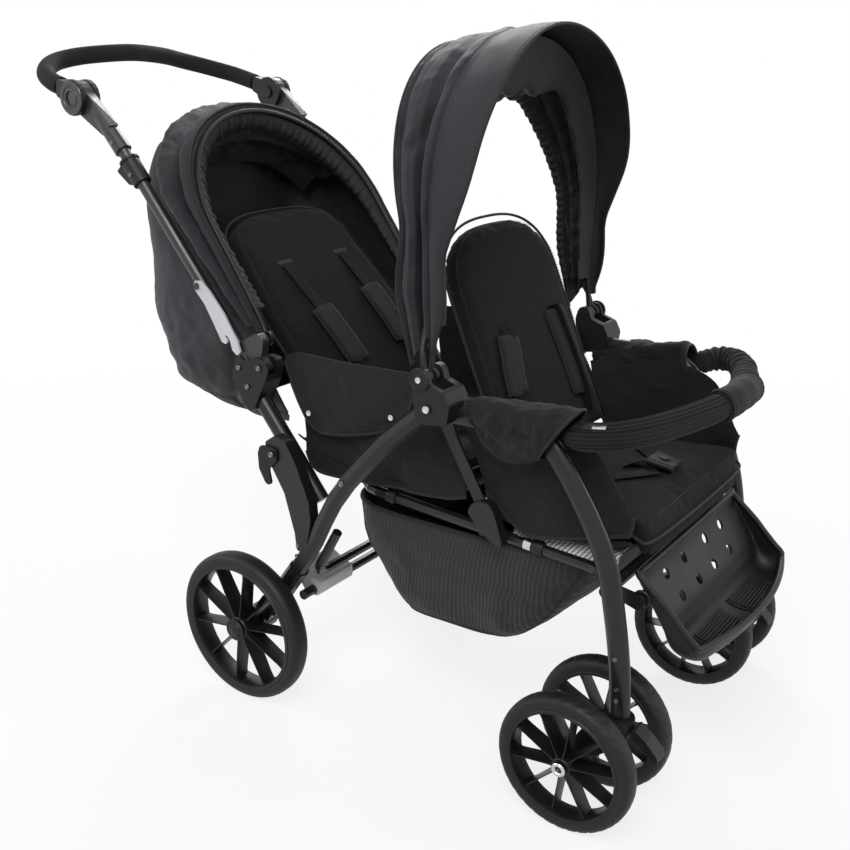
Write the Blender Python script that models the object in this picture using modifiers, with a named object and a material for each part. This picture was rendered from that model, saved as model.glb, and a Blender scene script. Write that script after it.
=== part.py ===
"""A tandem double stroller: two seats one behind the other on a folding steel frame.

Metres, +Z up. The stroller faces -Y, and its own right-hand side is at -X. It stands on Z = 0 with
the middle of its outline over the origin. Side-view places are written as (y, z), with y measured
back from a datum near the front swivel stems, and at() moves them to the stroller's own frame.
"""

import math

import bmesh
import bpy
from mathutils import Matrix, Vector

# Driving dimensions
MIDDLE = 0.5572
SIDES = (("right", -1), ("left", 1))
CLEAR = 0.0003

REAR_WHEEL_X = 0.2836
REAR_WHEEL_RADIUS = 0.1250
REAR_WHEEL_WIDTH = 0.0345
REAR_AXLE = (0.668, 0.125)
FRONT_WHEEL_RADIUS = 0.1000
FRONT_WHEEL_WIDTH = 0.0323
FRONT_AXLE = (0.084, 0.100)
CASTER_X = 0.222
CASTER_Y = 0.037
TWIN_OFFSET = 0.058

ARM_X = 0.247
ARM_HALF_WIDTH = 0.011
LOWER_TUBE_X = 0.2215
LOWER_TUBE_RADIUS = 0.0133
PUSH_X = 0.2265
PUSH_RADIUS = 0.0098
PUSH_ANGLE = math.radians(50.9)
LEG_X = 0.2275
RAIL_X = 0.185
RAIL_RADIUS = 0.008
STRUT_X = 0.2055

# Joint axes, all parallel to X
KNUCKLE_PIVOT = (0.3215, 0.5475)
BRACKET_PIVOT = (0.648, 0.549)
RAIL_PIVOT = (0.250, 0.355)
HANDLE_PIVOT = (1.0225, 0.938)
CANOPY_PIVOT = (0.333, 0.587)
REAR_CANOPY_PIVOT = (0.652, 0.590)
FRONT_RECLINE = (0.262, 0.428)
REAR_RECLINE = (0.580, 0.440)
FRONT_BACK_FOOT = (0.2700, 0.4270)
FRONT_BACK_ANGLE = math.radians(72.5)
REAR_BACK_FOOT = (0.5950, 0.4420)
REAR_BACK_ANGLE = math.radians(55.5)
FOOTREST_PIVOT = (0.036, 0.312)
BRAKE_PIVOT = (0.583, 0.182)
LATCH_PIVOT = (0.610, 0.424)
HOOK_PIVOT = (0.770, 0.662)
LOCK_PIVOT = (0.018, 0.146)


def clear_scene():
    for thing in list(bpy.data.objects):
        bpy.data.objects.remove(thing, do_unlink=True)


def new_collection(name):
    group = bpy.data.collections.new(name)
    bpy.context.scene.collection.children.link(group)
    return group


clear_scene()
STROLLER = new_collection("double_stroller")
CUTTERS = new_collection("cutters")


def finish(name, colour, roughness, metallic=0.0):
    made = bpy.data.materials.new(name)
    made.use_nodes = True
    shader = made.node_tree.nodes["Principled BSDF"]
    shader.inputs["Base Color"].default_value = (*colour, 1.0)
    shader.inputs["Roughness"].default_value = roughness
    shader.inputs["Metallic"].default_value = metallic
    made.diffuse_color = (*colour, 1.0)
    return made


FRAME_PAINT = finish("frame_paint", (0.030, 0.031, 0.034), 0.38, 0.35)
BLACK_PLASTIC = finish("black_plastic", (0.028, 0.028, 0.030), 0.50)
GREY_PLASTIC = finish("light_grey_plastic", (0.58, 0.60, 0.61), 0.45)
TYRE_RUBBER = finish("tyre_rubber", (0.020, 0.020, 0.021), 0.70)
GRIP_FOAM = finish("grip_foam", (0.024, 0.024, 0.025), 0.90)
BLACK_FABRIC = finish("black_fabric", (0.014, 0.014, 0.015), 0.85)
HOOD_FABRIC = finish("hood_fabric", (0.032, 0.033, 0.040), 0.70)
MESH_FABRIC = finish("mesh_fabric", (0.018, 0.018, 0.019), 0.80)


def at(x, y, z):
    """A point in the stroller's frame, from x, distance behind the datum and height."""
    return Vector((x, y - MIDDLE, z))


def on_side(place, x):
    return at(x, place[0], place[1])


def add_object(name, data, material=None):
    """Links data as a part, or as a cutter where it has no material."""
    made = bpy.data.objects.new(name, data)
    if material is None:
        CUTTERS.objects.link(made)
        made.hide_render = True
        made.display_type = "WIRE"
    else:
        STROLLER.objects.link(made)
        data.materials.clear()
        data.materials.append(material)
    return made


def face_outward(mesh):
    work = bmesh.new()
    work.from_mesh(mesh)
    bmesh.ops.recalc_face_normals(work, faces=work.faces)
    work.to_mesh(mesh)
    work.free()


def soften(mesh, degrees=40):
    mesh.shade_smooth()
    mesh.set_sharp_from_angle(angle=math.radians(degrees))


def curve_data(name, points, radius, resolution, caps=True):
    data = bpy.data.curves.new(name, "CURVE")
    data.dimensions = "3D"
    data.bevel_depth = radius
    data.bevel_resolution = resolution
    data.use_fill_caps = caps
    line = data.splines.new("POLY")
    line.points.add(len(points) - 1)
    for spot, point in zip(line.points, points):
        spot.co = (*point, 1.0)
    line.use_smooth = True
    return data


def tube(name, points, radius, material=None, flatten=1.0, resolution=4):
    """A bent tube along points. A flatten below 1 squeezes its section along X into an oval."""
    squeezed = [Vector((p.x / flatten, p.y, p.z)) for p in points]
    made = add_object(name, curve_data(name, squeezed, radius, resolution), material)
    made.scale.x = flatten
    return made


def as_mesh(thing):
    """A curve object turned into a mesh object at the same place, its caps welded on."""
    bpy.context.view_layer.update()
    seen = thing.evaluated_get(bpy.context.evaluated_depsgraph_get())
    mesh = bpy.data.meshes.new_from_object(seen)
    work = bmesh.new()
    work.from_mesh(mesh)
    work.transform(thing.matrix_world)
    bmesh.ops.remove_doubles(work, verts=work.verts, dist=0.00001)
    bmesh.ops.recalc_face_normals(work, faces=work.faces)
    work.to_mesh(mesh)
    work.free()
    name = thing.name
    material = thing.data.materials[0] if thing.data.materials else None
    bpy.data.objects.remove(thing, do_unlink=True)
    made = add_object(name, mesh, material)
    made.name = name
    return made


def finished_mesh(thing):
    """The mesh of an object with its modifiers carried out, for copies to share."""
    bpy.context.view_layer.update()
    seen = thing.evaluated_get(bpy.context.evaluated_depsgraph_get())
    mesh = bpy.data.meshes.new_from_object(seen)
    face_outward(mesh)
    return mesh


def combine(thing, other, operation):
    step = thing.modifiers.new(operation.lower(), "BOOLEAN")
    step.operation = operation
    step.solver = "EXACT"
    step.object = other
    return thing


def join(thing, *others):
    for other in others:
        combine(thing, other, "UNION")
    return thing


def cut(thing, *others):
    for other in others:
        combine(thing, other, "DIFFERENCE")
    return thing


def cylinder(name, radius, start, end, material=None, sides=20, end_radius=None):
    """A solid cylinder or cone between two points."""
    axis = end - start
    mesh = bpy.data.meshes.new(name)
    work = bmesh.new()
    bmesh.ops.create_cone(
        work,
        cap_ends=True,
        segments=sides,
        radius1=radius,
        radius2=radius if end_radius is None else end_radius,
        depth=axis.length,
    )
    turn = axis.to_track_quat("Z", "Y").to_matrix().to_4x4()
    work.transform(Matrix.Translation((start + end) / 2) @ turn)
    work.to_mesh(mesh)
    work.free()
    soften(mesh)
    return add_object(name, mesh, material)


def disc(name, radius, place, x_start, x_end, material=None, sides=20):
    """A cylinder along X at a side-view place."""
    return cylinder(name, radius, on_side(place, x_start), on_side(place, x_end), material, sides)


def block(name, low, high, material=None):
    """A box between two corners, each given as x, distance behind the datum and height."""
    mesh = bpy.data.meshes.new(name)
    work = bmesh.new()
    bmesh.ops.create_cube(work, size=1.0)
    size = [high[i] - low[i] for i in range(3)]
    centre = at(*[(high[i] + low[i]) / 2 for i in range(3)])
    work.transform(Matrix.Translation(centre) @ Matrix.Diagonal((*size, 1.0)))
    work.to_mesh(mesh)
    work.free()
    return add_object(name, mesh, material)


def rounded(corners, radius, steps=2):
    """An outline with each corner turned into an arc, or kept sharp where its radius is 0."""
    out = []
    count = len(corners)
    radii = radius if isinstance(radius, (list, tuple)) else [radius] * count
    for i, corner in enumerate(corners):
        here = Vector(corner)
        back = Vector(corners[i - 1]) - here
        ahead = Vector(corners[(i + 1) % count]) - here
        if radii[i] <= 0:
            out.append(here)
            continue
        half = back.angle(ahead) / 2
        reach = min(radii[i] / math.tan(half), back.length * 0.49, ahead.length * 0.49)
        true_radius = reach * math.tan(half)
        first = here + back.normalized() * reach
        middle = here + (back.normalized() + ahead.normalized()).normalized() * true_radius / math.sin(half)
        last = here + ahead.normalized() * reach
        start = first - middle
        sweep = start.angle_signed(last - middle)
        for k in range(steps + 1):
            turn = Matrix.Rotation(-sweep * k / steps, 2)
            out.append(middle + turn @ start)
    return out


def plate(name, outline, x_start, x_end, material=None):
    """A flat outline in the side view, extruded along X between two stations."""
    data = bpy.data.curves.new(name, "CURVE")
    data.dimensions = "2D"
    data.fill_mode = "BOTH"
    data.extrude = abs(x_end - x_start) / 2
    line = data.splines.new("POLY")
    line.points.add(len(outline) - 1)
    for spot, point in zip(line.points, outline):
        spot.co = (point[0] - MIDDLE, point[1], 0.0, 1.0)
    line.use_cyclic_u = True
    made = add_object(name, data, material)
    made.rotation_euler = (math.pi / 2, 0, math.pi / 2)
    made.location.x = (x_start + x_end) / 2
    return as_mesh(made)


def bent_path(points, radius, steps=4):
    """Straight runs joined by arcs, as a bender makes them, in any plane."""
    out = [points[0]]
    for before, here, after in zip(points, points[1:], points[2:]):
        back = (before - here).normalized()
        ahead = (after - here).normalized()
        half = back.angle(ahead) / 2
        reach = min(radius / math.tan(half), (before - here).length * 0.49, (after - here).length * 0.49)
        first = here + back * reach
        last = here + ahead * reach
        middle = here + (back + ahead).normalized() * (reach * math.tan(half)) / math.sin(half)
        axis = (first - middle).cross(last - middle).normalized()
        sweep = (first - middle).angle(last - middle)
        for k in range(steps + 1):
            turn = Matrix.Rotation(sweep * k / steps, 3, axis)
            out.append(middle + turn @ (first - middle))
    out.append(points[-1])
    return out


def revolve(name, profile, steps, material=None):
    """A closed profile of (radius, offset along X) pairs turned about X, centred on the origin."""
    mesh = bpy.data.meshes.new(name)
    spots = [(radius, 0.0, offset) for radius, offset in profile]
    rings = [(i, (i + 1) % len(spots)) for i in range(len(spots))]
    mesh.from_pydata(spots, rings, [])
    made = add_object(name, mesh, material)
    turn = made.modifiers.new("turned", "SCREW")
    turn.axis = "Z"
    turn.angle = 2 * math.pi
    turn.steps = steps
    turn.render_steps = steps
    turn.use_merge_vertices = True
    turn.merge_threshold = 0.0001
    turn.use_smooth_shade = True
    made.rotation_euler = (0, math.pi / 2, 0)
    return made


def sheet(name, rows, thickness, material):
    """An open surface through rows of points, thickened to both sides by Solidify."""
    mesh = bpy.data.meshes.new(name)
    width = len(rows[0])
    spots = [point for row in rows for point in row]
    faces = []
    for i in range(len(rows) - 1):
        for j in range(width - 1):
            k = j + 1
            faces.append((i * width + j, i * width + k, (i + 1) * width + k, (i + 1) * width + j))
    mesh.from_pydata(spots, [], faces)
    soften(mesh, 60)
    made = add_object(name, mesh, material)
    step = made.modifiers.new("cloth_thickness", "SOLIDIFY")
    step.thickness = thickness
    step.offset = 0.0
    return made


def pad(name, columns, rows, shape, material):
    """A cushion: a two-layer cage of columns by rows, placed by shape(u, v, top), then subdivided."""
    mesh = bpy.data.meshes.new(name)
    work = bmesh.new()
    bmesh.ops.create_grid(work, x_segments=columns, y_segments=rows, size=1.0)
    base = list(work.faces)
    grown = bmesh.ops.extrude_face_region(work, geom=base)["geom"]
    upper = {v for v in grown if isinstance(v, bmesh.types.BMVert)}
    for v in work.verts:
        v.co = shape(v.co.x, v.co.y, v in upper)
    bmesh.ops.recalc_face_normals(work, faces=work.faces)
    work.to_mesh(mesh)
    work.free()
    soften(mesh, 80)
    made = add_object(name, mesh, material)
    step = made.modifiers.new("soft_form", "SUBSURF")
    step.levels = 1
    step.render_levels = 1
    return made


def body(name, pivot, parent=None):
    """An empty on a joint's axis. The pieces that move together hang from it."""
    made = bpy.data.objects.new("body_" + name, None)
    STROLLER.objects.link(made)
    made.location = pivot
    bpy.context.view_layer.update()
    if parent:
        made.parent = parent
        made.matrix_parent_inverse = parent.matrix_world.inverted()
        bpy.context.view_layer.update()
    return made


def hang(thing, carrier):
    """Moves an object's origin to its body's axis and parents it there, without moving its shape."""
    bpy.context.view_layer.update()
    pivot = carrier.matrix_world.translation
    if thing.data.users == 1:
        shift = thing.matrix_world.inverted() @ pivot
        thing.data.transform(Matrix.Translation(-shift))
        thing.location = pivot
        bpy.context.view_layer.update()
    thing.parent = carrier
    thing.matrix_parent_inverse = carrier.matrix_world.inverted()
    return thing


def along(place, angle, distance, offset=0.0):
    """A side-view place at a distance along a direction, and an offset to the front of it."""
    return (
        place[0] + distance * math.cos(angle) - offset * math.sin(angle),
        place[1] + distance * math.sin(angle) + offset * math.cos(angle),
    )


# The moving bodies, each on its joint's axis
FRONT_FRAME = body("front_frame", at(0, 0.0, 0.0))
REAR_LEGS = body("rear_legs", on_side(KNUCKLE_PIVOT, 0), FRONT_FRAME)
SEAT_RAILS = body("seat_rails", on_side(RAIL_PIVOT, 0), FRONT_FRAME)
PUSH_FRAME = body("push_frame", on_side(BRACKET_PIVOT, 0), REAR_LEGS)
HANDLE = body("handle", on_side(HANDLE_PIVOT, 0), PUSH_FRAME)
FRONT_CANOPY = body("front_canopy", on_side(CANOPY_PIVOT, 0), FRONT_FRAME)
FRONT_VISOR = body("front_visor", on_side(CANOPY_PIVOT, 0), FRONT_CANOPY)
REAR_CANOPY = body("rear_canopy", on_side(REAR_CANOPY_PIVOT, 0), PUSH_FRAME)
FRONT_BACK = body("front_backrest", on_side(FRONT_RECLINE, 0), FRONT_FRAME)
REAR_BACK = body("rear_backrest", on_side(REAR_RECLINE, 0), PUSH_FRAME)
FOOTREST = body("footrest", on_side(FOOTREST_PIVOT, 0), FRONT_FRAME)
BUMPER = body("bumper_bar", at(0, 0.134, 0.531), FRONT_FRAME)
BRAKE = body("brake", on_side(BRAKE_PIVOT, 0), REAR_LEGS)


# Wheels

def wheel_fins(name, count, inner, outer, thickness, half_width_hub, half_width_rim):
    """Flat radial blades across the wheel, wider at the hub than at the rim."""
    mesh = bpy.data.meshes.new(name)
    work = bmesh.new()
    for k in range(count):
        fin = bmesh.ops.create_cube(work, size=1.0)["verts"]
        turn = Matrix.Rotation(2 * math.pi * (k + 0.25) / count, 4, "X")
        for v in fin:
            far = v.co.z > 0
            half = half_width_rim if far else half_width_hub
            spot = Vector((2 * v.co.x * half, v.co.y * thickness, outer if far else inner))
            v.co = turn @ spot
    work.to_mesh(mesh)
    work.free()
    return add_object(name, mesh)


def rim_profile(tyre_seat, opening, half_width):
    """A wheel's plain rim ring in section."""
    return [
        (tyre_seat, -half_width),
        (tyre_seat, half_width),
        (opening, half_width),
        (opening, -half_width),
    ]


def hub_profile(radius, bore, half_width):
    return [
        (radius, -half_width),
        (radius, half_width),
        (bore, half_width),
        (bore, -half_width),
    ]


def tread_profile(radius, seat, half_width):
    """A tyre in section, from the shoulder over the crown, with a flat band that meets the floor."""
    return [
        (seat, -half_width),
        (radius - 0.0075, -half_width),
        (radius, -half_width * 0.42),
        (radius, half_width * 0.42),
        (radius - 0.0075, half_width),
        (seat, half_width),
    ]


def front_wheel_mesh():
    """A front wheel: rubber tread moulded on a ten-blade plastic wheel, as one closed body."""
    half = FRONT_WHEEL_WIDTH / 2
    tread = tread_profile(FRONT_WHEEL_RADIUS, 0.084, half)
    rim = [(0.0765, half - 0.002), (0.0765, -half + 0.002)]
    ring = revolve("front_wheel_ring", tread + rim, 22)
    hub = revolve("front_wheel_hub", hub_profile(0.0135, 0.0046, 0.0165), 10)
    fins = wheel_fins("front_wheel_fins", 10, 0.0100, 0.0795, 0.0028, 0.0135, 0.0110)
    join(ring, hub, fins)
    mesh = finished_mesh(ring)
    mesh.transform(Matrix.Rotation(math.pi / 2, 4, "Y"))
    soften(mesh, 35)
    mesh.materials.clear()
    mesh.materials.append(TYRE_RUBBER)
    ring.name = "front_wheel_pattern"
    return mesh


def rear_wheel_meshes():
    """The rear wheel's ten-blade rim with its hub cap, and the smooth tyre round it."""
    half = REAR_WHEEL_WIDTH / 2
    ring = revolve("rear_wheel_ring", rim_profile(0.1060, 0.0985, half - 0.002), 24)
    hub = revolve("rear_wheel_hub", hub_profile(0.0175, 0.0056, 0.0175), 10)
    fins = wheel_fins("rear_wheel_fins", 10, 0.0130, 0.1020, 0.0032, 0.0145, 0.0115)
    join(ring, hub, fins)
    rim = finished_mesh(ring)
    rim.transform(Matrix.Rotation(math.pi / 2, 4, "Y"))
    soften(rim, 35)
    rim.materials.clear()
    rim.materials.append(BLACK_PLASTIC)
    band = revolve("rear_tyre_ring", tread_profile(REAR_WHEEL_RADIUS, 0.1060 + CLEAR * 2, half), 24)
    tyre = finished_mesh(band)
    tyre.transform(Matrix.Rotation(math.pi / 2, 4, "Y"))
    soften(tyre, 35)
    tyre.materials.clear()
    tyre.materials.append(TYRE_RUBBER)
    return rim, tyre


def place_copy(name, mesh, place, carrier):
    made = bpy.data.objects.new(name, mesh)
    STROLLER.objects.link(made)
    made.location = place
    bpy.context.view_layer.update()
    made.parent = carrier
    made.matrix_parent_inverse = carrier.matrix_world.inverted()
    return made


def make_wheels():
    front = front_wheel_mesh()
    rim, tyre = rear_wheel_meshes()
    for side, s in SIDES:
        swivel = body("caster_" + side, at(s * CASTER_X, CASTER_Y, 0.150), FRONT_FRAME)
        for place, offset in (("outer", TWIN_OFFSET), ("inner", -TWIN_OFFSET)):
            centre = on_side(FRONT_AXLE, s * (CASTER_X + offset))
            spin = body(f"front_{place}_wheel_{side}", centre, swivel)
            place_copy(f"front_wheel_{place}_{side}", front, centre, spin)
        make_caster(side, s, swivel)
        centre = on_side(REAR_AXLE, s * REAR_WHEEL_X)
        spin = body("rear_wheel_" + side, centre, REAR_LEGS)
        place_copy("rear_rim_" + side, rim, centre, spin)
        place_copy("rear_tyre_" + side, tyre, centre, spin)


def make_caster(side, s, swivel):
    """The swivel fork between the twin wheels, its stem, its through axle and its lock lever."""
    x = s * CASTER_X
    outline = rounded(
        [
            (0.018, 0.1495), (0.018, 0.134), (0.032, 0.118), (0.062, 0.092),
            (0.084, 0.086), (0.098, 0.100), (0.088, 0.122), (0.062, 0.1495),
        ],
        0.009, 1,
    )
    fork = plate("caster_fork_" + side, outline, x - 0.0155, x + 0.0155, BLACK_PLASTIC)
    stem_y = CASTER_Y
    collar = cylinder("caster_collar", 0.0215, at(x, stem_y, 0.139), at(x, stem_y, 0.1575), sides=16)
    stem = cylinder("caster_stem", 0.0050, at(x, stem_y, 0.150), at(x, stem_y, 0.190), sides=8)
    reach = TWIN_OFFSET + 0.0165
    axle = disc("caster_axle", 0.0040, FRONT_AXLE, x - reach - 0.004, x + reach + 0.004, sides=8)
    boss = disc("caster_boss", 0.0105, FRONT_AXLE, x - 0.0410, x + 0.0410, sides=12)
    caps = [
        disc("axle_cap", 0.0088, FRONT_AXLE, x + e * (reach + 0.0008), x + e * (reach + 0.0050), sides=12)
        for e in (-1, 1)
    ]
    hang(join(fork, collar, stem, boss, axle, *caps), swivel)
    lever = [
        (0.0150, 0.1385), (-0.004, 0.1255), (-0.021, 0.1120), (-0.027, 0.1150),
        (-0.024, 0.1230), (-0.008, 0.1400), (0.009, 0.1525), (0.0140, 0.1500),
    ]
    tab = plate("swivel_lock_" + side, rounded(lever, 0.002, 1), x - 0.0125, x + 0.0125, BLACK_PLASTIC)
    hinge = body("swivel_lock_" + side, on_side(LOCK_PIVOT, x), swivel)
    hang(tab, hinge)


# Front frame

LEG_LINE = [
    (0.302, 0.5365), (0.200, 0.5360), (0.172, 0.5310), (0.150, 0.5170), (0.133, 0.4970), (0.118, 0.4750),
    (0.094, 0.4360), (0.0740, 0.3960), (0.0600, 0.3530), (0.0500, 0.3000), (0.0425, 0.2500),
    (0.0385, 0.2080), (0.0370, 0.1600),
]
LEG_RADIUS = 0.0150
LEG_OVAL = 0.74


def leg_points(s):
    """The leg's centreline, leaning in from the armrest to the swivel stem."""
    top = LEG_LINE[0][1]
    bottom = LEG_LINE[-1][1]
    points = []
    for y, z in LEG_LINE:
        lean = (top - z) / (top - bottom)
        points.append(at(s * (LEG_X + (CASTER_X - LEG_X) * lean), y, z))
    return points


def make_front_legs():
    for side, s in SIDES:
        leg = as_mesh(tube("front_leg_" + side, leg_points(s), LEG_RADIUS, FRAME_PAINT, LEG_OVAL, 2))
        bore = cylinder(
            "stem_bore", 0.0056, at(s * CASTER_X, CASTER_Y, 0.150), at(s * CASTER_X, CASTER_Y, 0.192), sides=8
        )
        cut(leg, bore)
        soften(leg.data, 50)
        hang(leg, FRONT_FRAME)


def make_knuckles():
    """The plastic joint that carries the armrest tube, the rear arm's pin and the canopy pin."""
    for side, s in SIDES:
        inner, outer = s * 0.2125, s * 0.2620
        outline = rounded(
            [
                (0.2860, 0.5560), (0.2900, 0.5290), (0.3390, 0.5230), (0.3440, 0.5500),
                (0.3470, 0.5800), (0.3410, 0.6010), (0.3240, 0.6010), (0.3180, 0.5820), (0.2950, 0.5740),
            ],
            [0.008, 0.008, 0.012, 0.01, 0.012, 0.010, 0.010, 0.006, 0.008],
        )
        shell = plate("knuckle_" + side, outline, inner, outer, BLACK_PLASTIC)
        slot_low, slot_high = sorted((s * 0.2353, s * 0.2587))
        slot = block("arm_slot", (slot_low, 0.3045, 0.45), (slot_high, 0.40, 0.5667))
        gap_low, gap_high = sorted((s * 0.2245, s * 0.2540))
        canopy_gap = block("canopy_gap", (gap_low, 0.30, 0.5690), (gap_high, 0.37, 0.62))
        bore = as_mesh(
            tube("armrest_bore", [at(s * LEG_X, 0.3024, 0.5365), at(s * LEG_X, 0.25, 0.5361)],
                 LEG_RADIUS + 0.0006, None, LEG_OVAL, 2)
        )
        cut(shell, slot, canopy_gap, bore)
        arm_pin = disc("arm_pin", 0.0045, KNUCKLE_PIVOT, s * 0.2325, s * 0.2630, sides=12)
        arm_head = disc("arm_rivet_head", 0.0070, KNUCKLE_PIVOT, s * 0.2615, s * 0.2638, sides=10)
        canopy_pin = disc("canopy_pin", 0.0035, CANOPY_PIVOT, s * 0.2222, s * 0.2570, sides=10)
        join(shell, arm_pin, arm_head, canopy_pin)
        hang(shell, FRONT_FRAME)


RAIL_FRONT = (0.0700, 0.3415)


def make_side_rails():
    """The front stretch of each seat rail, with the tongue that the rear stretch hinges on."""
    for side, s in SIDES:
        x = s * RAIL_X
        start = at(s * 0.2085, 0.0640, 0.3410)
        points = bent_path(
            [start, at(x, RAIL_FRONT[0] + 0.030, 0.3435), at(x, RAIL_PIVOT[0] - 0.0115, 0.3541)], 0.030, 3
        )
        rail = as_mesh(tube("side_rail_" + side, points, RAIL_RADIUS, FRAME_PAINT, resolution=2))
        tongue = plate(
            "rail_tongue",
            rounded(
                [(0.222, 0.3455), (0.2605, 0.3470), (0.2600, 0.3640), (0.222, 0.3610)],
                [0.0, 0.0075, 0.0075, 0.0],
            ),
            x - 0.0032, x + 0.0032,
        )
        bore = disc("tongue_bore", 0.0034, RAIL_PIVOT, x - 0.01, x + 0.01, sides=8)
        join(rail, tongue)
        cut(rail, bore)
        hang(rail, FRONT_FRAME)


def make_struts():
    """The flat diagonal bar from each knuckle down to its teardrop cover on the seat rail."""
    for side, s in SIDES:
        x = s * STRUT_X
        low, high = x - 0.0017, x + 0.0017
        top, bottom = (0.3400, 0.5300), (0.2640, 0.3960)
        lean = math.atan2(top[1] - bottom[1], top[0] - bottom[0])
        corners = [along(p, lean, d, o) for p, d, o in (
            (bottom, 0, -0.009), (top, 0.010, -0.009), (top, 0.010, 0.009), (bottom, 0, 0.009))]
        strut = plate("seat_strut_" + side, rounded(corners, 0.006, 2), low, high, FRAME_PAINT)
        foot = [
            (0.2870, 0.3900), (0.2800, 0.4040), (0.2660, 0.4110), (0.2500, 0.4080), (0.2430, 0.3960),
            (0.2340, 0.3680), (0.2290, 0.3520), (0.2370, 0.3470), (0.2640, 0.3640),
        ]
        cover = plate("strut_cover", rounded(foot, 0.006, 2), s * 0.1965, s * 0.2135)
        upper = disc("strut_boss", 0.0085, (0.3330, 0.5360), s * 0.2030, s * 0.2122, sides=12)
        join(strut, cover, upper)
        hang(strut, FRONT_FRAME)


def make_front_cross_tube():
    """The tube across the legs, with the two ears that carry the footrest."""
    level = (0.0740, 0.3240)
    bar = cylinder("front_cross_tube", 0.0085, on_side(level, -0.2085), on_side(level, 0.2085), FRAME_PAINT, 14)
    ears = []
    for s in (-1, 1):
        ear = plate(
            "footrest_ear",
            rounded(
                [(0.082, 0.3320), (0.028, 0.3235), (0.024, 0.3100), (0.034, 0.3020), (0.082, 0.3160)],
                0.006,
            ),
            s * 0.1862, s * 0.1912,
        )
        pin = disc("footrest_pin", 0.0042, FOOTREST_PIVOT, s * 0.1792, s * 0.1890, sides=12)
        ears += [ear, pin]
    join(bar, *ears)
    hang(bar, FRONT_FRAME)


# Footrest: the tray is the feature that takes the most care to model

TRAY_LINE = [
    (0.0410, 0.3480), (0.0350, 0.3225), (0.0100, 0.2850), (-0.0010, 0.2620), (-0.0100, 0.2470),
    (-0.0220, 0.2390), (-0.0400, 0.2350), (-0.0590, 0.2370), (-0.0690, 0.2440), (-0.0745, 0.2600),
]
TRAY_SIDE = [
    (0.0440, 0.3500), (0.0465, 0.3100), (0.0280, 0.2760), (-0.0080, 0.2330), (-0.0420, 0.2290),
    (-0.0500, 0.2440), (-0.0350, 0.2680), (-0.0090, 0.2830), (0.0140, 0.3280), (0.0270, 0.3500),
]
TRAY_HALF_WIDTH = 0.1752
TRAY_WALL = 0.0036


def make_footrest():
    """A moulded tray: pierced back panel, dished floor, rolled front lip and deep side wings."""
    rows = []
    last = len(TRAY_LINE) - 1
    across = 6
    for i, (y, z) in enumerate(TRAY_LINE):
        bow = 0.030 * max(0.0, i / last - 0.35) / 0.65
        rows.append([
            at(TRAY_HALF_WIDTH * u, y + bow * u * u, z - 0.002 * bow * u * u)
            for u in (2 * j / across - 1 for j in range(across + 1))
        ])
    tray = sheet("footrest", rows, TRAY_WALL, BLACK_PLASTIC)
    for s in (-1, 1):
        wing = plate("tray_wing", rounded(TRAY_SIDE, 0.007, 1), s * 0.1735, s * 0.1770)
        boss = disc("tray_boss", 0.0100, FOOTREST_PIVOT, s * 0.1710, s * 0.1855, sides=12)
        join(tray, wing, boss)
    for row, xs in ((0.0335, (-0.102, -0.040, 0.040, 0.102)), (0.0120, (-0.091, -0.030, 0.030, 0.091))):
        height = 0.3200 if row > 0.02 else 0.2880
        for x in xs:
            start = at(x, row - 0.020, height + 0.014)
            end = at(x, row + 0.020, height - 0.014)
            cut(tray, cylinder("tray_hole", 0.0080, start, end, sides=8))
    cut(tray, disc("tray_pivot_bore", 0.0047, FOOTREST_PIVOT, -0.20, 0.20, sides=10))
    hang(tray, FOOTREST)


# Rear legs

ARM_LINE = [
    (0.3215, 0.5475), (0.3575, 0.5190), (0.4015, 0.4815), (0.4370, 0.4445), (0.4725, 0.4050),
    (0.5000, 0.3680), (0.5200, 0.3330), (0.5390, 0.2960), (0.5590, 0.2640), (0.5850, 0.2280),
]
ARM_RADIUS = 0.0145


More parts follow.
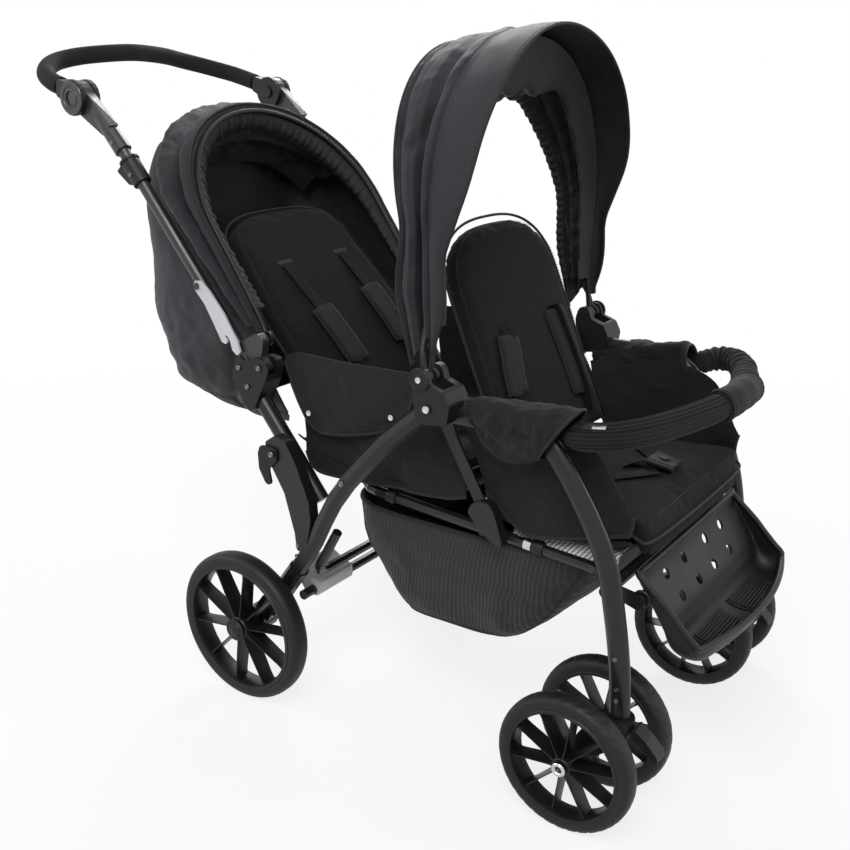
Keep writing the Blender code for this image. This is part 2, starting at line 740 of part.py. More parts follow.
def make_rear_arms():
    """Each rear leg: a swept arm from the knuckle, the lever plate behind it and the axle carrier."""
    for side, s in SIDES:
        x = s * ARM_X
        path = [at(x, y, z) for y, z in ARM_LINE]
        flatten = ARM_HALF_WIDTH / ARM_RADIUS
        arm = as_mesh(tube("rear_arm_" + side, path, ARM_RADIUS, FRAME_PAINT, flatten, 2))
        low, high = x - 0.0098, x + 0.0098
        lever = [
            (0.6270, 0.4400), (0.6090, 0.4520), (0.5860, 0.4460), (0.5680, 0.4160), (0.5440, 0.3580),
            (0.5420, 0.3250), (0.5540, 0.2760), (0.5720, 0.2700), (0.5750, 0.3000), (0.5930, 0.3630),
            (0.6270, 0.4180),
        ]
        fin = plate("lever_plate", rounded(lever, 0.003, 1), low, high)
        carrier_top = (0.5800, 0.2350)
        carrier_low = (0.6440, 0.1460)
        housing = cylinder(
            "axle_carrier", 0.0165, on_side(carrier_top, s * 0.2440), on_side(carrier_low, s * 0.2440),
            sides=12, end_radius=0.0175,
        )
        boss = disc("axle_boss", 0.0230, REAR_AXLE, s * 0.2290, s * 0.2630, sides=14)
        web = plate(
            "axle_web",
            [(0.622, 0.156), (0.660, 0.105), (0.686, 0.124), (0.652, 0.170)],
            s * 0.2330, s * 0.2560,
        )
        axle = disc("rear_axle_stub", 0.0050, REAR_AXLE, s * 0.2600, s * 0.3060, sides=10)
        cap = disc("rear_hub_nut", 0.0100, REAR_AXLE, s * 0.3020, s * 0.3060, sides=12)
        lug = disc("arm_lug", 0.0155, KNUCKLE_PIVOT, low, high, sides=16)
        join(arm, lug, fin, housing, web, boss, axle, cap)
        if side == "right":
            join(
                arm,
                disc("latch_pin", 0.0029, LATCH_PIVOT, s * 0.2550, s * 0.2630, sides=10),
                disc("latch_pin_head", 0.0055, LATCH_PIVOT, s * 0.2620, s * 0.2638, sides=10),
            )
        cut(arm, disc("arm_pin_bore", 0.0050, KNUCKLE_PIVOT, s * 0.23, s * 0.27, sides=10))
        hang(arm, REAR_LEGS)


LOWER_BOTTOM = (0.5480, 0.3490)
LOWER_ANGLE = math.radians(51.4)
LOWER_LENGTH = 0.2030


def make_lower_tubes():
    for side, s in SIDES:
        x = s * LOWER_TUBE_X
        start = on_side(LOWER_BOTTOM, x)
        end = on_side(along(LOWER_BOTTOM, LOWER_ANGLE, LOWER_LENGTH), x)
        lower = cylinder("lower_tube_" + side, LOWER_TUBE_RADIUS, start, end, FRAME_PAINT, 16)
        hang(lower, REAR_LEGS)


def make_brackets():
    """The fold hinge: a forked housing clamped on the lower tube, with the push tube's pin in front."""
    for side, s in SIDES:
        low, high = s * 0.2035, s * 0.2410
        outline = [
            (0.6980, 0.5560), (0.6900, 0.5640), (0.6780, 0.5560), (0.6680, 0.5600), (0.6520, 0.5640),
            (0.6340, 0.5620), (0.6290, 0.5480), (0.6360, 0.5290), (0.6500, 0.5040), (0.6640, 0.4780),
            (0.6740, 0.4760), (0.6850, 0.4920), (0.7060, 0.5240),
        ]
        housing = plate("hinge_bracket_" + side, rounded(outline, 0.005, 1), low, high, BLACK_PLASTIC)
        base = on_side(along(LOWER_BOTTOM, LOWER_ANGLE, 0.10), s * LOWER_TUBE_X)
        seat = on_side(along(LOWER_BOTTOM, LOWER_ANGLE, LOWER_LENGTH + CLEAR), s * LOWER_TUBE_X)
        bore = cylinder("lower_tube_bore", LOWER_TUBE_RADIUS + CLEAR * 1.6, base, seat, sides=16)
        foot = along(BRACKET_PIVOT, PUSH_ANGLE, -0.0170, -0.052)
        corners = [
            foot,
            along(foot, PUSH_ANGLE, 0.0, 0.090),
            along(foot, PUSH_ANGLE, 0.080, 0.090),
            along(foot, PUSH_ANGLE, 0.080, 0.0),
        ]
        slot = plate("push_tube_slot", corners, s * 0.2160, s * 0.2370)
        cut(housing, bore, slot)
        pin = disc("fold_pin", 0.0035, BRACKET_PIVOT, s * 0.2140, s * 0.2400, sides=10)
        join(housing, pin)
        for spot in (BRACKET_PIVOT, (0.6900, 0.5440), (0.6735, 0.5160)):
            join(housing, disc("bracket_rivet", 0.0048, spot, s * 0.2400, s * 0.2424, sides=8))
        hang(housing, REAR_LEGS)


def make_rear_cross_members():
    """The straight axle tube low between the rear legs, and the bent tube above it."""
    bar = disc("rear_axle_tube", 0.0080, BRAKE_PIVOT, -0.2350, 0.2350, FRAME_PAINT, sides=14)
    hang(bar, REAR_LEGS)
    run = [
        at(-0.2270, 0.5140, 0.3060), at(-0.2270, 0.5640, 0.2200), at(0.2270, 0.5640, 0.2200),
        at(0.2270, 0.5140, 0.3060),
    ]
    hang(tube("rear_cross_tube", bent_path(run, 0.030, 4), 0.0080, FRAME_PAINT, resolution=2), REAR_LEGS)


def make_brake():
    """The grey foot brake that turns on the axle tube."""
    low, high = -0.2100, -0.1250
    outline = rounded(
        [
            (0.5700, 0.1740), (0.5960, 0.1700), (0.6100, 0.1900), (0.6220, 0.2120), (0.6160, 0.2180),
            (0.5980, 0.2080), (0.5700, 0.1960),
        ],
        0.006, 2,
    )
    pedal = plate("brake_pedal", outline, low, high, GREY_PLASTIC)
    cut(pedal, disc("pedal_bore", 0.0086, BRAKE_PIVOT, low - 0.01, high + 0.01, sides=12))
    relief = plate("pedal_relief", rounded([(0.60, 0.23), (0.60, 0.198), (0.64, 0.23)], 0.0), -0.180, -0.155)
    cut(pedal, relief)
    hang(pedal, BRAKE)


def make_fold_latch():
    """The foot latch behind the right lever plate, which frees the fold."""
    s = -1
    outline = rounded(
        [
            (0.6020, 0.4340), (0.6350, 0.4340), (0.6400, 0.4200), (0.6390, 0.3950), (0.6260, 0.3720),
            (0.6140, 0.3720), (0.6190, 0.3980), (0.6020, 0.4130),
        ],
        0.007, 2,
    )
    latch = plate("fold_latch", outline, s * 0.2573, s * 0.2615, BLACK_PLASTIC)
    cut(latch, disc("latch_bore", 0.0034, LATCH_PIVOT, s * 0.25, s * 0.27, sides=10))
    hinge = body("fold_latch", on_side(LATCH_PIVOT, s * 0.25), REAR_LEGS)
    hang(latch, hinge)


# Push frame

PUSH_AXIS_FOOT = along(BRACKET_PIVOT, PUSH_ANGLE, 0.0, -0.0240)
SLEEVE_START = 0.4180


def make_push_tubes():
    for side, s in SIDES:
        x = s * PUSH_X
        start = on_side(along(PUSH_AXIS_FOOT, PUSH_ANGLE, -0.0140), x)
        end = on_side(along(PUSH_AXIS_FOOT, PUSH_ANGLE, SLEEVE_START + 0.055), x)
        push = cylinder("push_tube_" + side, PUSH_RADIUS, start, end, FRAME_PAINT, 14)
        lug = [
            along(PUSH_AXIS_FOOT, PUSH_ANGLE, -0.0100, 0.0),
            along(PUSH_AXIS_FOOT, PUSH_ANGLE, -0.0090, 0.0330),
            along(PUSH_AXIS_FOOT, PUSH_ANGLE, 0.0120, 0.0330),
            (REAR_CANOPY_PIVOT[0] - 0.010, REAR_CANOPY_PIVOT[1] + 0.001),
            (REAR_CANOPY_PIVOT[0] + 0.004, REAR_CANOPY_PIVOT[1] + 0.011),
            along(PUSH_AXIS_FOOT, PUSH_ANGLE, 0.0560, 0.0),
        ]
        tongue = plate("push_lug", rounded(lug, 0.007, 2), s * 0.2190, s * 0.2340)
        bore = disc("fold_pin_bore", 0.0041, BRACKET_PIVOT, s * 0.21, s * 0.24, sides=10)
        canopy_pin = disc("rear_canopy_pin", 0.0035, REAR_CANOPY_PIVOT, s * 0.2060, s * 0.2200, sides=8)
        join(push, tongue, canopy_pin)
        if side == "right":
            join(
                push,
                disc("hook_pin", 0.0030, HOOK_PIVOT, s * 0.2300, s * 0.2430, sides=10),
                disc("hook_pin_head", 0.0055, HOOK_PIVOT, s * 0.2418, s * 0.2436, sides=10),
            )
        cut(push, bore)
        hang(push, PUSH_FRAME)


def make_sleeves():
    """The lower half of each handle hinge: a drum on a tapering sleeve over the push tube's end."""
    for side, s in SIDES:
        x = s * PUSH_X
        foot = along(PUSH_AXIS_FOOT, PUSH_ANGLE, SLEEVE_START)
        neck = along(PUSH_AXIS_FOOT, PUSH_ANGLE, SLEEVE_START + 0.070, -0.004)
        drum = disc("handle_sleeve_" + side, 0.0265, HANDLE_PIVOT, s * 0.2188, s * 0.2362, BLACK_PLASTIC, 20)
        tail = cylinder("sleeve_tail", 0.0142, on_side(foot, x), on_side(neck, x), sides=14, end_radius=0.0125)
        bridge = plate(
            "sleeve_bridge",
            rounded([
                along(foot, PUSH_ANGLE, 0.040, 0.0125), along(foot, PUSH_ANGLE, 0.040, -0.0130),
                (HANDLE_PIVOT[0] - 0.004, HANDLE_PIVOT[1] - 0.0250),
                (HANDLE_PIVOT[0] - 0.016, HANDLE_PIVOT[1] + 0.0170),
            ], 0.0),
            s * 0.2193, s * 0.2357,
        )
        join(drum, bridge, tail)
        start = on_side(along(foot, PUSH_ANGLE, -0.02), x)
        end = on_side(along(foot, PUSH_ANGLE, 0.0555), x)
        cut(drum, cylinder("tube_bore", PUSH_RADIUS + CLEAR * 1.4, start, end, sides=14))
        cut(drum, disc("hinge_bore", 0.0062, HANDLE_PIVOT, s * 0.21, s * 0.24, sides=10))
        hang(drum, PUSH_FRAME)


GRIP_LINE = [
    (0.2265, 1.0680, 0.9552), (0.2260, 1.0870, 0.9605), (0.2170, 1.1160, 0.9700), (0.1980, 1.1420, 0.9790),
    (0.1720, 1.1640, 0.9880), (0.1400, 1.1770, 0.9960), (0.1000, 1.1740, 1.0030), (0.0500, 1.1650, 1.0075),
]
BAR_START = (0.2265, 1.0515, 0.9498)
GRIP_RADIUS = 0.0148


def handle_points(with_arms):
    half = ([BAR_START] if with_arms else []) + GRIP_LINE
    right = [at(-x, y, z) for x, y, z in half]
    left = [at(x, y, z) for x, y, z in reversed(half)]
    return right + [at(0, 1.1590, 1.0095)] + left


def make_handle():
    """The swivelling handle: a bent tube, the upper halves of both hinges, and a foam grip."""
    bar = as_mesh(tube("handle_bar", handle_points(True), 0.0088, FRAME_PAINT, resolution=1))
    for s in (-1, 1):
        for low, high in ((0.2100, 0.2182), (0.2368, 0.2442)):
            join(bar, disc("hinge_cheek", 0.0280, HANDLE_PIVOT, s * low, s * high, sides=18))
        heel = (HANDLE_PIVOT[0] + 0.0270, HANDLE_PIVOT[1] + 0.0100)
        arm = plate(
            "hinge_arm",
            rounded([
                (heel[0] - 0.0055, heel[1] - 0.0180), (1.0650, 0.9410), (1.0600, 0.9670),
                (heel[0] - 0.0155, heel[1] + 0.0120),
            ], 0.003, 1),
            s * 0.2120, s * 0.2412,
        )
        room = disc("drum_room", 0.0274, HANDLE_PIVOT, s * 0.2182, s * 0.2368, sides=20)
        cut(arm, room)
        join(bar, arm)
        join(bar, disc("hinge_pin", 0.0055, HANDLE_PIVOT, s * 0.2170, s * 0.2380, sides=10))
        cut(bar, disc("button_well", 0.0112, HANDLE_PIVOT, s * 0.20, s * 0.2165, sides=14))
        button = disc(
            "handle_button_" + ("right" if s < 0 else "left"), 0.0105, HANDLE_PIVOT, s * 0.2060, s * 0.2128,
            BLACK_PLASTIC, 14,
        )
        press = body("handle_button_" + ("right" if s < 0 else "left"), on_side(HANDLE_PIVOT, s * 0.21), HANDLE)
        hang(button, press)
    hang(bar, HANDLE)
    line = curve_data("grip_line", handle_points(False), GRIP_RADIUS, 2, caps=False)
    skin = as_mesh(add_object("handle_grip", line, GRIP_FOAM))
    foam = skin.modifiers.new("foam_wall", "SOLIDIFY")
    foam.thickness = GRIP_RADIUS - 0.0106
    foam.offset = -1.0
    hang(skin, HANDLE)


def make_fold_sliders():
    """The two collars that slide up the push tubes to unlock the fold."""
    for side, s in SIDES:
        x = s * PUSH_X
        foot = along(PUSH_AXIS_FOOT, PUSH_ANGLE, 0.3560)
        top = along(PUSH_AXIS_FOOT, PUSH_ANGLE, 0.3980)
        collar = cylinder("fold_slider_" + side, 0.0150, on_side(foot, x), on_side(top, x), BLACK_PLASTIC, 14)
        flange_top = along(top, PUSH_ANGLE, 0.0030)
        flange_foot = along(top, PUSH_ANGLE, -0.0010)
        flange = cylinder("slider_flange", 0.0168, on_side(flange_foot, x), on_side(flange_top, x), sides=14)
        wing = plate(
            "slider_wing",
            rounded([
                along(foot, PUSH_ANGLE, 0.004, -0.010), along(foot, PUSH_ANGLE, 0.012, -0.019),
                along(top, PUSH_ANGLE, -0.003, -0.026), along(top, PUSH_ANGLE, 0.002, -0.026),
                along(top, PUSH_ANGLE, 0.002, -0.012),
            ], 0.0),
            x - 0.009, x + 0.009,
        )
        join(collar, flange, wing)
        start = on_side(along(foot, PUSH_ANGLE, -0.02), x)
        end = on_side(along(top, PUSH_ANGLE, 0.02), x)
        cut(collar, cylinder("slider_bore", PUSH_RADIUS + CLEAR * 1.4, start, end, sides=14))
        hang(collar, body("fold_slider_" + side, on_side(foot, x), PUSH_FRAME))


def make_storage_hook():
    """The light grey hook that holds the stroller folded."""
    s = -1
    outline = rounded(
        [
            (0.7740, 0.6700), (0.7790, 0.6620), (0.7740, 0.6540), (0.7560, 0.6350), (0.7380, 0.6050),
            (0.7240, 0.5800), (0.7140, 0.5765), (0.7110, 0.5840), (0.7175, 0.5890), (0.7130, 0.5930),
            (0.7060, 0.5850), (0.7020, 0.5700), (0.6930, 0.5620), (0.6850, 0.5680), (0.6900, 0.5840),
            (0.7150, 0.6240), (0.7440, 0.6570), (0.7600, 0.6710),
        ],
        0.0025, 1,
    )
    hook = plate("storage_hook", outline, s * 0.2372, s * 0.2412, GREY_PLASTIC)
    cut(hook, disc("hook_bore", 0.0036, HOOK_PIVOT, s * 0.23, s * 0.25, sides=8))
    hang(hook, body("storage_hook", on_side(HOOK_PIVOT, s * 0.24), PUSH_FRAME))


# Seat frame and soft parts

def make_seat_frame():
    """The hinged rear stretch of both seat rails, joined by a cross run behind the rear seat."""
    x = RAIL_X
    back = 0.5060
    run = [
        at(-x, RAIL_PIVOT[0] + 0.0125, 0.3560), at(-x, back, 0.3742), at(x, back, 0.3742),
        at(x, RAIL_PIVOT[0] + 0.0125, 0.3560),
    ]
    frame = as_mesh(tube("rear_seat_frame", bent_path(run, 0.040, 4), RAIL_RADIUS, FRAME_PAINT, resolution=2))
    for s in (-1, 1):
        for low, high in ((0.1770, 0.1812), (0.1888, 0.1930)):
            cheek = rounded(
                [(0.2410, 0.3480), (0.2800, 0.3490), (0.2790, 0.3660), (0.2410, 0.3625)],
                [0.007, 0.0, 0.0, 0.007],
            )
            join(frame, plate("rail_cheek", cheek, s * low, s * high))
        join(frame, disc("rail_pin", 0.0028, RAIL_PIVOT, s * 0.1790, s * 0.1910, sides=8))
    hang(frame, SEAT_RAILS)


def trough(name, stations, material, steps=5):
    """A seat cloth slung from side to side: each station gives y, floor, side height and width."""
    rows = []
    for y, floor, height, half in stations:
        row = []
        for j in range(2 * steps + 1):
            u = j / steps - 1
            if abs(u) < 0.55:
                x = u / 0.55 * half * 0.94
                z = floor - 0.006 * (1 - (u / 0.55) ** 2)
            else:
                rise = (abs(u) - 0.55) / 0.45
                x = math.copysign(half * (0.94 + 0.06 * math.sin(rise * math.pi / 2)), u)
                z = floor + (height - floor) * rise
            row.append(at(x, y, z))
        rows.append(row)
    return sheet(name, rows, 0.0028, material)


def make_seat_cloths():
    front = [
        (0.0500, 0.3850, 0.4320, 0.1925), (0.0850, 0.3790, 0.4960, 0.1950), (0.1350, 0.3740, 0.5240, 0.1965),
        (0.1900, 0.3710, 0.5300, 0.1965), (0.2450, 0.3760, 0.5320, 0.1965), (0.2900, 0.3980, 0.5280, 0.1965),
    ]
    hang(trough("front_seat_cloth", front, BLACK_FABRIC), FRONT_FRAME)
    rear = [
        (0.3300, 0.3960, 0.5600, 0.1945), (0.3900, 0.3880, 0.5700, 0.1955), (0.4500, 0.3880, 0.5700, 0.1955),
        (0.5100, 0.3930, 0.5700, 0.1955), (0.5700, 0.4060, 0.5660, 0.1950), (0.6150, 0.4250, 0.5500, 0.1945),
    ]
    hang(trough("rear_seat_cloth", rear, BLACK_FABRIC), SEAT_RAILS)


def seat_shape(y_front, y_back, z_front, z_back, half_width, thickness, crown):
    def shape(u, v, top):
        y = y_front + (y_back - y_front) * (v + 1) / 2
        base = z_front + (z_back - z_front) * (v + 1) / 2
        pull = 1 - 0.035 * (abs(v) ** 3)
        x = u * half_width * pull
        if not top:
            return at(x * 0.97, y, base)
        puff = crown * (1 - u**4) * (1 - v**4)
        return at(x, y, base + thickness + puff)
    return shape


def back_shape(foot, angle, length, half_width, thickness, crown):
    """A backrest pad: narrow rounded head, drawn-in sides and a crowned face towards the child."""
    def shape(u, v, top):
        along_back = length * (v + 1) / 2
        head = max(0.0, (v - 0.45) / 0.55)
        half = half_width * (1 - 0.26 * head**2.2)
        x = u * half
        drop = 0.016 * abs(u) ** 3 * head
        depth = thickness + crown * (1 - u**4) * (1 - v**6) if top else 0.0
        y = foot[0] + (along_back - drop) * math.cos(angle) - depth * math.sin(angle)
        z = foot[1] + (along_back - drop) * math.sin(angle) + depth * math.cos(angle)
        return at(x, y, z)
    return shape


def make_cushions():
    front = seat_shape(0.0280, 0.2520, 0.3930, 0.3840, 0.1800, 0.0200, 0.0120)
    hang(pad("front_seat_pad", 4, 3, front, BLACK_FABRIC), FRONT_FRAME)
    rear = seat_shape(0.3360, 0.5700, 0.4040, 0.4120, 0.1780, 0.0200, 0.0120)
    hang(pad("rear_seat_pad", 4, 3, rear, BLACK_FABRIC), SEAT_RAILS)
    front_back = back_shape(FRONT_BACK_FOOT, FRONT_BACK_ANGLE, 0.3560, 0.1680, 0.0180, 0.0120)
    hang(pad("front_backrest_pad", 4, 5, front_back, BLACK_FABRIC), FRONT_BACK)
    rear_back = back_shape(REAR_BACK_FOOT, REAR_BACK_ANGLE, 0.3850, 0.1650, 0.0180, 0.0120)
    hang(pad("rear_backrest_pad", 4, 5, rear_back, BLACK_FABRIC), REAR_BACK)


def arch(pivot, angle, half_width, height, power, count, start=0.0):
    """Points of a rounded arch from one side over the top to the other, in a plane through pivot."""
    out = []
    for i in range(count + 1):
        t = math.pi * i / count
        across = -math.copysign(abs(math.cos(t)) ** (2 / power), math.cos(t))
        reach = start + (height - start) * math.sin(t) ** (2 / power)
        y, z = along(pivot, angle, reach)
        out.append(at(across * half_width, y, z))
    return out


def bow(name, pivot, angle, half_width, height, power, foot_x, disc_radius, disc_span, carrier):
    """A canopy's wire bow: an arch whose feet step across to the eyes that turn on the pin."""
    line = arch(pivot, angle, half_width, height, power, 12)[1:-1]
    for x, reach in ((half_width, 0.036), (foot_x, 0.017), (foot_x, 0.0)):
        place = along(pivot, angle, reach)
        line = [on_side(place, -x), *line, on_side(place, x)]
    made = as_mesh(tube(name, line, 0.0040, BLACK_PLASTIC, resolution=1))
    for s in (-1, 1):
        join(made, disc("bow_eye", disc_radius, pivot, s * disc_span[0], s * disc_span[1], sides=12))
        cut(made, disc("bow_bore", 0.0042, pivot, s * 0.19, s * 0.27, sides=8))
    return hang(made, carrier)


FRONT_HOOD_REAR = math.radians(75.5)
FRONT_HOOD_SEAM = math.radians(88.4)
REAR_HOOD_FRONT = math.radians(56.0)


def make_canopy_bows():
    bow("front_canopy_bow", CANOPY_PIVOT, FRONT_HOOD_REAR, 0.2055, 0.4480, 2.4, 0.2480, 0.0110,
        (0.2435, 0.2525), FRONT_CANOPY)
    bow("front_visor_bow", CANOPY_PIVOT, FRONT_HOOD_SEAM, 0.1970, 0.4460, 2.5, 0.2330, 0.0110,
        (0.2285, 0.2375), FRONT_VISOR)
    bow("rear_canopy_bow", REAR_CANOPY_PIVOT, REAR_HOOD_FRONT, 0.2122, 0.3960, 2.9, 0.2122, 0.0110,
        (0.2085, 0.2160), REAR_CANOPY)


def make_front_hood():
    """The bunched hood cloth between the two front bows, with ridges running over the arch."""
    rows = []
    across = 14
    bands = 5
    for i in range(bands + 1):
        v = i / bands
        angle = FRONT_HOOD_REAR + (FRONT_HOOD_SEAM - FRONT_HOOD_REAR) * v
        ridge = 0.0045 * math.sin(3 * math.pi * v)
        line = arch(
            CANOPY_PIVOT, angle, 0.2250 + 0.006 * v + ridge, 0.4570 + 0.002 * v + ridge, 2.45, across, 0.055
        )
        rows.append(line)
    hang(sheet("front_hood", rows, 0.0024, HOOD_FABRIC), FRONT_CANOPY)


def make_front_visor():
    """The stiff crescent visor ahead of the seam, longest over the child's head."""
    rows = []
    across = 14
    bands = 4
    for i in range(bands + 1):
        v = i / bands
        row = []
        for k in range(across + 1):
            t = math.pi * (0.075 + 0.850 * k / across)
            wide = 0.2350 + 0.0080 * v
            high = 0.4620 - 0.0060 * v
            x = -math.copysign(abs(math.cos(t)) ** (2 / 2.6), math.cos(t)) * wide
            z = CANOPY_PIVOT[1] + high * math.sin(t) ** (2 / 2.6)
            crown = math.sin(t) ** 0.8
            y = CANOPY_PIVOT[0] + 0.0275 * (z - CANOPY_PIVOT[1]) - 0.0020 - (0.012 + 0.070 * crown) * v
            row.append(at(x, y, z - 0.004 * v * v * crown))
        rows.append(row)
    hang(sheet("front_visor", rows, 0.0028, HOOD_FABRIC), FRONT_VISOR)


def make_rear_hood():
    """The rear hood's gathered front band, from its bow back to the shell."""
    rows = []
    across = 14
    bands = 5
    for i in range(bands + 1):
        v = i / bands
        angle = REAR_HOOD_FRONT - math.radians(10.0) * v
        ridge = 0.0050 * math.sin(3 * math.pi * v)
        reach = 0.4060 - 0.018 * v + ridge
        rows.append(arch(REAR_CANOPY_PIVOT, angle, 0.2240 - 0.010 * v + ridge, reach, 2.9, across, 0.042))
    hang(sheet("rear_hood", rows, 0.0024, HOOD_FABRIC), REAR_CANOPY)


def make_rear_shell():
    """The cloth shell behind the reclined rear backrest, from the hood down under the seat."""
    levels = [
        (0.8680, 0.9270, 0.9340, 0.1400), (0.8300, 0.8920, 0.9340, 0.1800), (0.7600, 0.8240, 0.9340, 0.1930),
        (0.6800, 0.7480, 0.9330, 0.1960), (0.6000, 0.6950, 0.9350, 0.1960), (0.5300, 0.6650, 0.9050, 0.1950),
        (0.4820, 0.6500, 0.8700, 0.1900),
    ]
    rows = []
    steps = 14
    for z, y_front, y_back, half in levels:
        row = []
        for j in range(steps + 1):
            t = math.pi * j / steps
            x = -math.copysign(abs(math.cos(t)) ** 0.45, math.cos(t)) * half
            y = y_front + (y_back - y_front) * math.sin(t) ** 0.55
            row.append(at(x, y, z))
        rows.append(row)
    floor = [at(p.x * 0.90, 0.6700, 0.4620) + Vector((0, (p.y + MIDDLE - 0.65) * 0.55, 0)) for p in rows[-1]]
    rows.append(floor)
    hang(sheet("rear_shell", rows, 0.0026, HOOD_FABRIC), REAR_BACK)


def make_basket():
    """The mesh basket slung below the seats, open on top."""
    rows = []
    steps = 18
    for z, y_front, y_back, half in (
        (0.3300, 0.0960, 0.5440, 0.1860), (0.2900, 0.1200, 0.5340, 0.1860), (0.2400, 0.1600, 0.5050, 0.1830),
        (0.1950, 0.2120, 0.4680, 0.1760), (0.1720, 0.2480, 0.4400, 0.1600), (0.1660, 0.2900, 0.4000, 0.1100),
        (0.1650, 0.3300, 0.3600, 0.0300),
    ):
        row = []
        for j in range(steps):
            t = 2 * math.pi * j / steps
            x = math.copysign(abs(math.cos(t)) ** 0.45, math.cos(t)) * half
            lengthwise = math.copysign(abs(math.sin(t)) ** 0.45, math.sin(t))
            y = (y_front + y_back) / 2 + lengthwise * (y_back - y_front) / 2
            row.append(at(x, y, z))
        rows.append(row)
    mesh = bpy.data.meshes.new("basket")
    spots = [point for row in rows for point in row]
    faces = [tuple(range((len(rows) - 1) * steps, len(rows) * steps))]
    for i in range(len(rows) - 1):
        for j in range(steps):
            k = (j + 1) % steps
            faces.append((i * steps + j, (i + 1) * steps + j, (i + 1) * steps + k, i * steps + k))
    mesh.from_pydata(spots, [], faces)
    face_outward(mesh)
    soften(mesh, 60)
    made = add_object("basket", mesh, MESH_FABRIC)
    wall = made.modifiers.new("mesh_thickness", "SOLIDIFY")
    wall.thickness = 0.0026
    wall.offset = 0.0
    hang(made, FRONT_FRAME)


BUMPER_LINE = [
    (0.2120, 0.1240, 0.5365), (0.2290, 0.1080, 0.5410), (0.2310, 0.0880, 0.5440), (0.2160, 0.0650, 0.5450),
    (0.1800, 0.0440, 0.5455), (0.1250, 0.0220, 0.5470), (0.0600, -0.0020, 0.5530),
]


def make_bumper():
    """The padded bumper bar across the front seat."""
    right = [at(-x, y, z) for x, y, z in BUMPER_LINE]
    left = [at(x, y, z) for x, y, z in reversed(BUMPER_LINE)]
    line = right + [at(0, -0.0100, 0.5560)] + left
    hang(tube("bumper_bar", line, 0.0160, BLACK_FABRIC, resolution=2), BUMPER)


make_wheels()
make_front_legs()
make_knuckles()
make_side_rails()
make_struts()
make_front_cross_tube()
make_footrest()
make_rear_arms()
make_lower_tubes()
make_brackets()
make_rear_cross_members()
make_brake()
make_fold_latch()
make_push_tubes()
make_sleeves()
make_handle()
make_fold_sliders()
make_storage_hook()
make_seat_frame()
make_seat_cloths()
make_cushions()
make_canopy_bows()
make_front_hood()
make_front_visor()
make_rear_hood()
make_rear_shell()
make_basket()
make_bumper()
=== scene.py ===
"""Looks of the tandem double stroller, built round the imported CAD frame."""

import math

import bmesh
import bpy
import numpy as np
from mathutils import Matrix, Vector, noise


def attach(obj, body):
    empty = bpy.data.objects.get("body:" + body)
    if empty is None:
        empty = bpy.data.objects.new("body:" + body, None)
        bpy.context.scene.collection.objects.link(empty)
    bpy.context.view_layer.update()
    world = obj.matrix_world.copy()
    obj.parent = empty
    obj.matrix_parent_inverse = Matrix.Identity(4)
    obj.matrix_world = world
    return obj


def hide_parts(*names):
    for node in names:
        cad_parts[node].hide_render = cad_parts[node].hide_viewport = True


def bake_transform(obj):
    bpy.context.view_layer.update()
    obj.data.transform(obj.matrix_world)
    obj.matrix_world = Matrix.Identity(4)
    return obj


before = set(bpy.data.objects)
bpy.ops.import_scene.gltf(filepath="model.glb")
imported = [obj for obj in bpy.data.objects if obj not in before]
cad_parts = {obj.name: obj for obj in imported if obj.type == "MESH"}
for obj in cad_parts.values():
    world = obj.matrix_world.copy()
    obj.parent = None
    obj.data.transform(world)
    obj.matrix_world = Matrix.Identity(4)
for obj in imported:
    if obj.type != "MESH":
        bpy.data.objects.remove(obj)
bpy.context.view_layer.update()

MIDDLE = 0.5572
SIDES = (("right", -1), ("left", 1))
PI = math.pi

# Places in the side view, as (distance behind the datum, height)
KNUCKLE = (0.3215, 0.5475)
BRACKET = (0.648, 0.549)
CANOPY = (0.333, 0.587)
REAR_CANOPY = (0.652, 0.590)
HANDLE = (1.0225, 0.938)
FRONT_AXLE = (0.084, 0.100)
REAR_AXLE = (0.668, 0.125)
# Distances from the middle plane
LEG_X, RAIL_X, PUSH_X = 0.222, 0.185, 0.2265
WHEEL_OFFSET, REAR_WHEEL_X, HUB_CAP_X = 0.058, 0.2836, 0.3052

# Foot and slope of the two backrests, and slope of the push tubes
FRONT_BACK_FOOT, FRONT_BACK_ANGLE = (0.2700, 0.4270), math.radians(68.0)
REAR_BACK_FOOT, REAR_BACK_ANGLE = (0.5950, 0.4420), math.radians(49.3)
PUSH_ANGLE = math.radians(50.9)
# The footrest from its pivot forward: the top edge of its side wings and its floor's middle line
TRAY_WING_TOP = [(0.0440, 0.3500), (0.0400, 0.3440), (0.0280, 0.3330), (0.0100, 0.3180), (-0.0030, 0.3060),
                 (-0.0130, 0.2950), (-0.0230, 0.2850), (-0.0320, 0.2760), (-0.0390, 0.2700), (-0.0445, 0.2660)]
TRAY_LINE = [(0.0410, 0.3480), (0.0350, 0.3225), (0.0100, 0.2850), (-0.0010, 0.2620), (-0.0100, 0.2470),
             (-0.0220, 0.2390), (-0.0400, 0.2350), (-0.0590, 0.2370), (-0.0690, 0.2440), (-0.0745, 0.2600)]
TRAY_HALF = 0.1752
# Centre line of a front leg, from the knuckle down
LEG_LINE = [(0.302, 0.5365), (0.200, 0.5360), (0.172, 0.5310), (0.150, 0.5170), (0.133, 0.4970),
            (0.118, 0.4750), (0.094, 0.4360),
            (0.0740, 0.3960), (0.0600, 0.3530), (0.0500, 0.3000), (0.0425, 0.2500), (0.0385, 0.2080),
            (0.0370, 0.1600)]
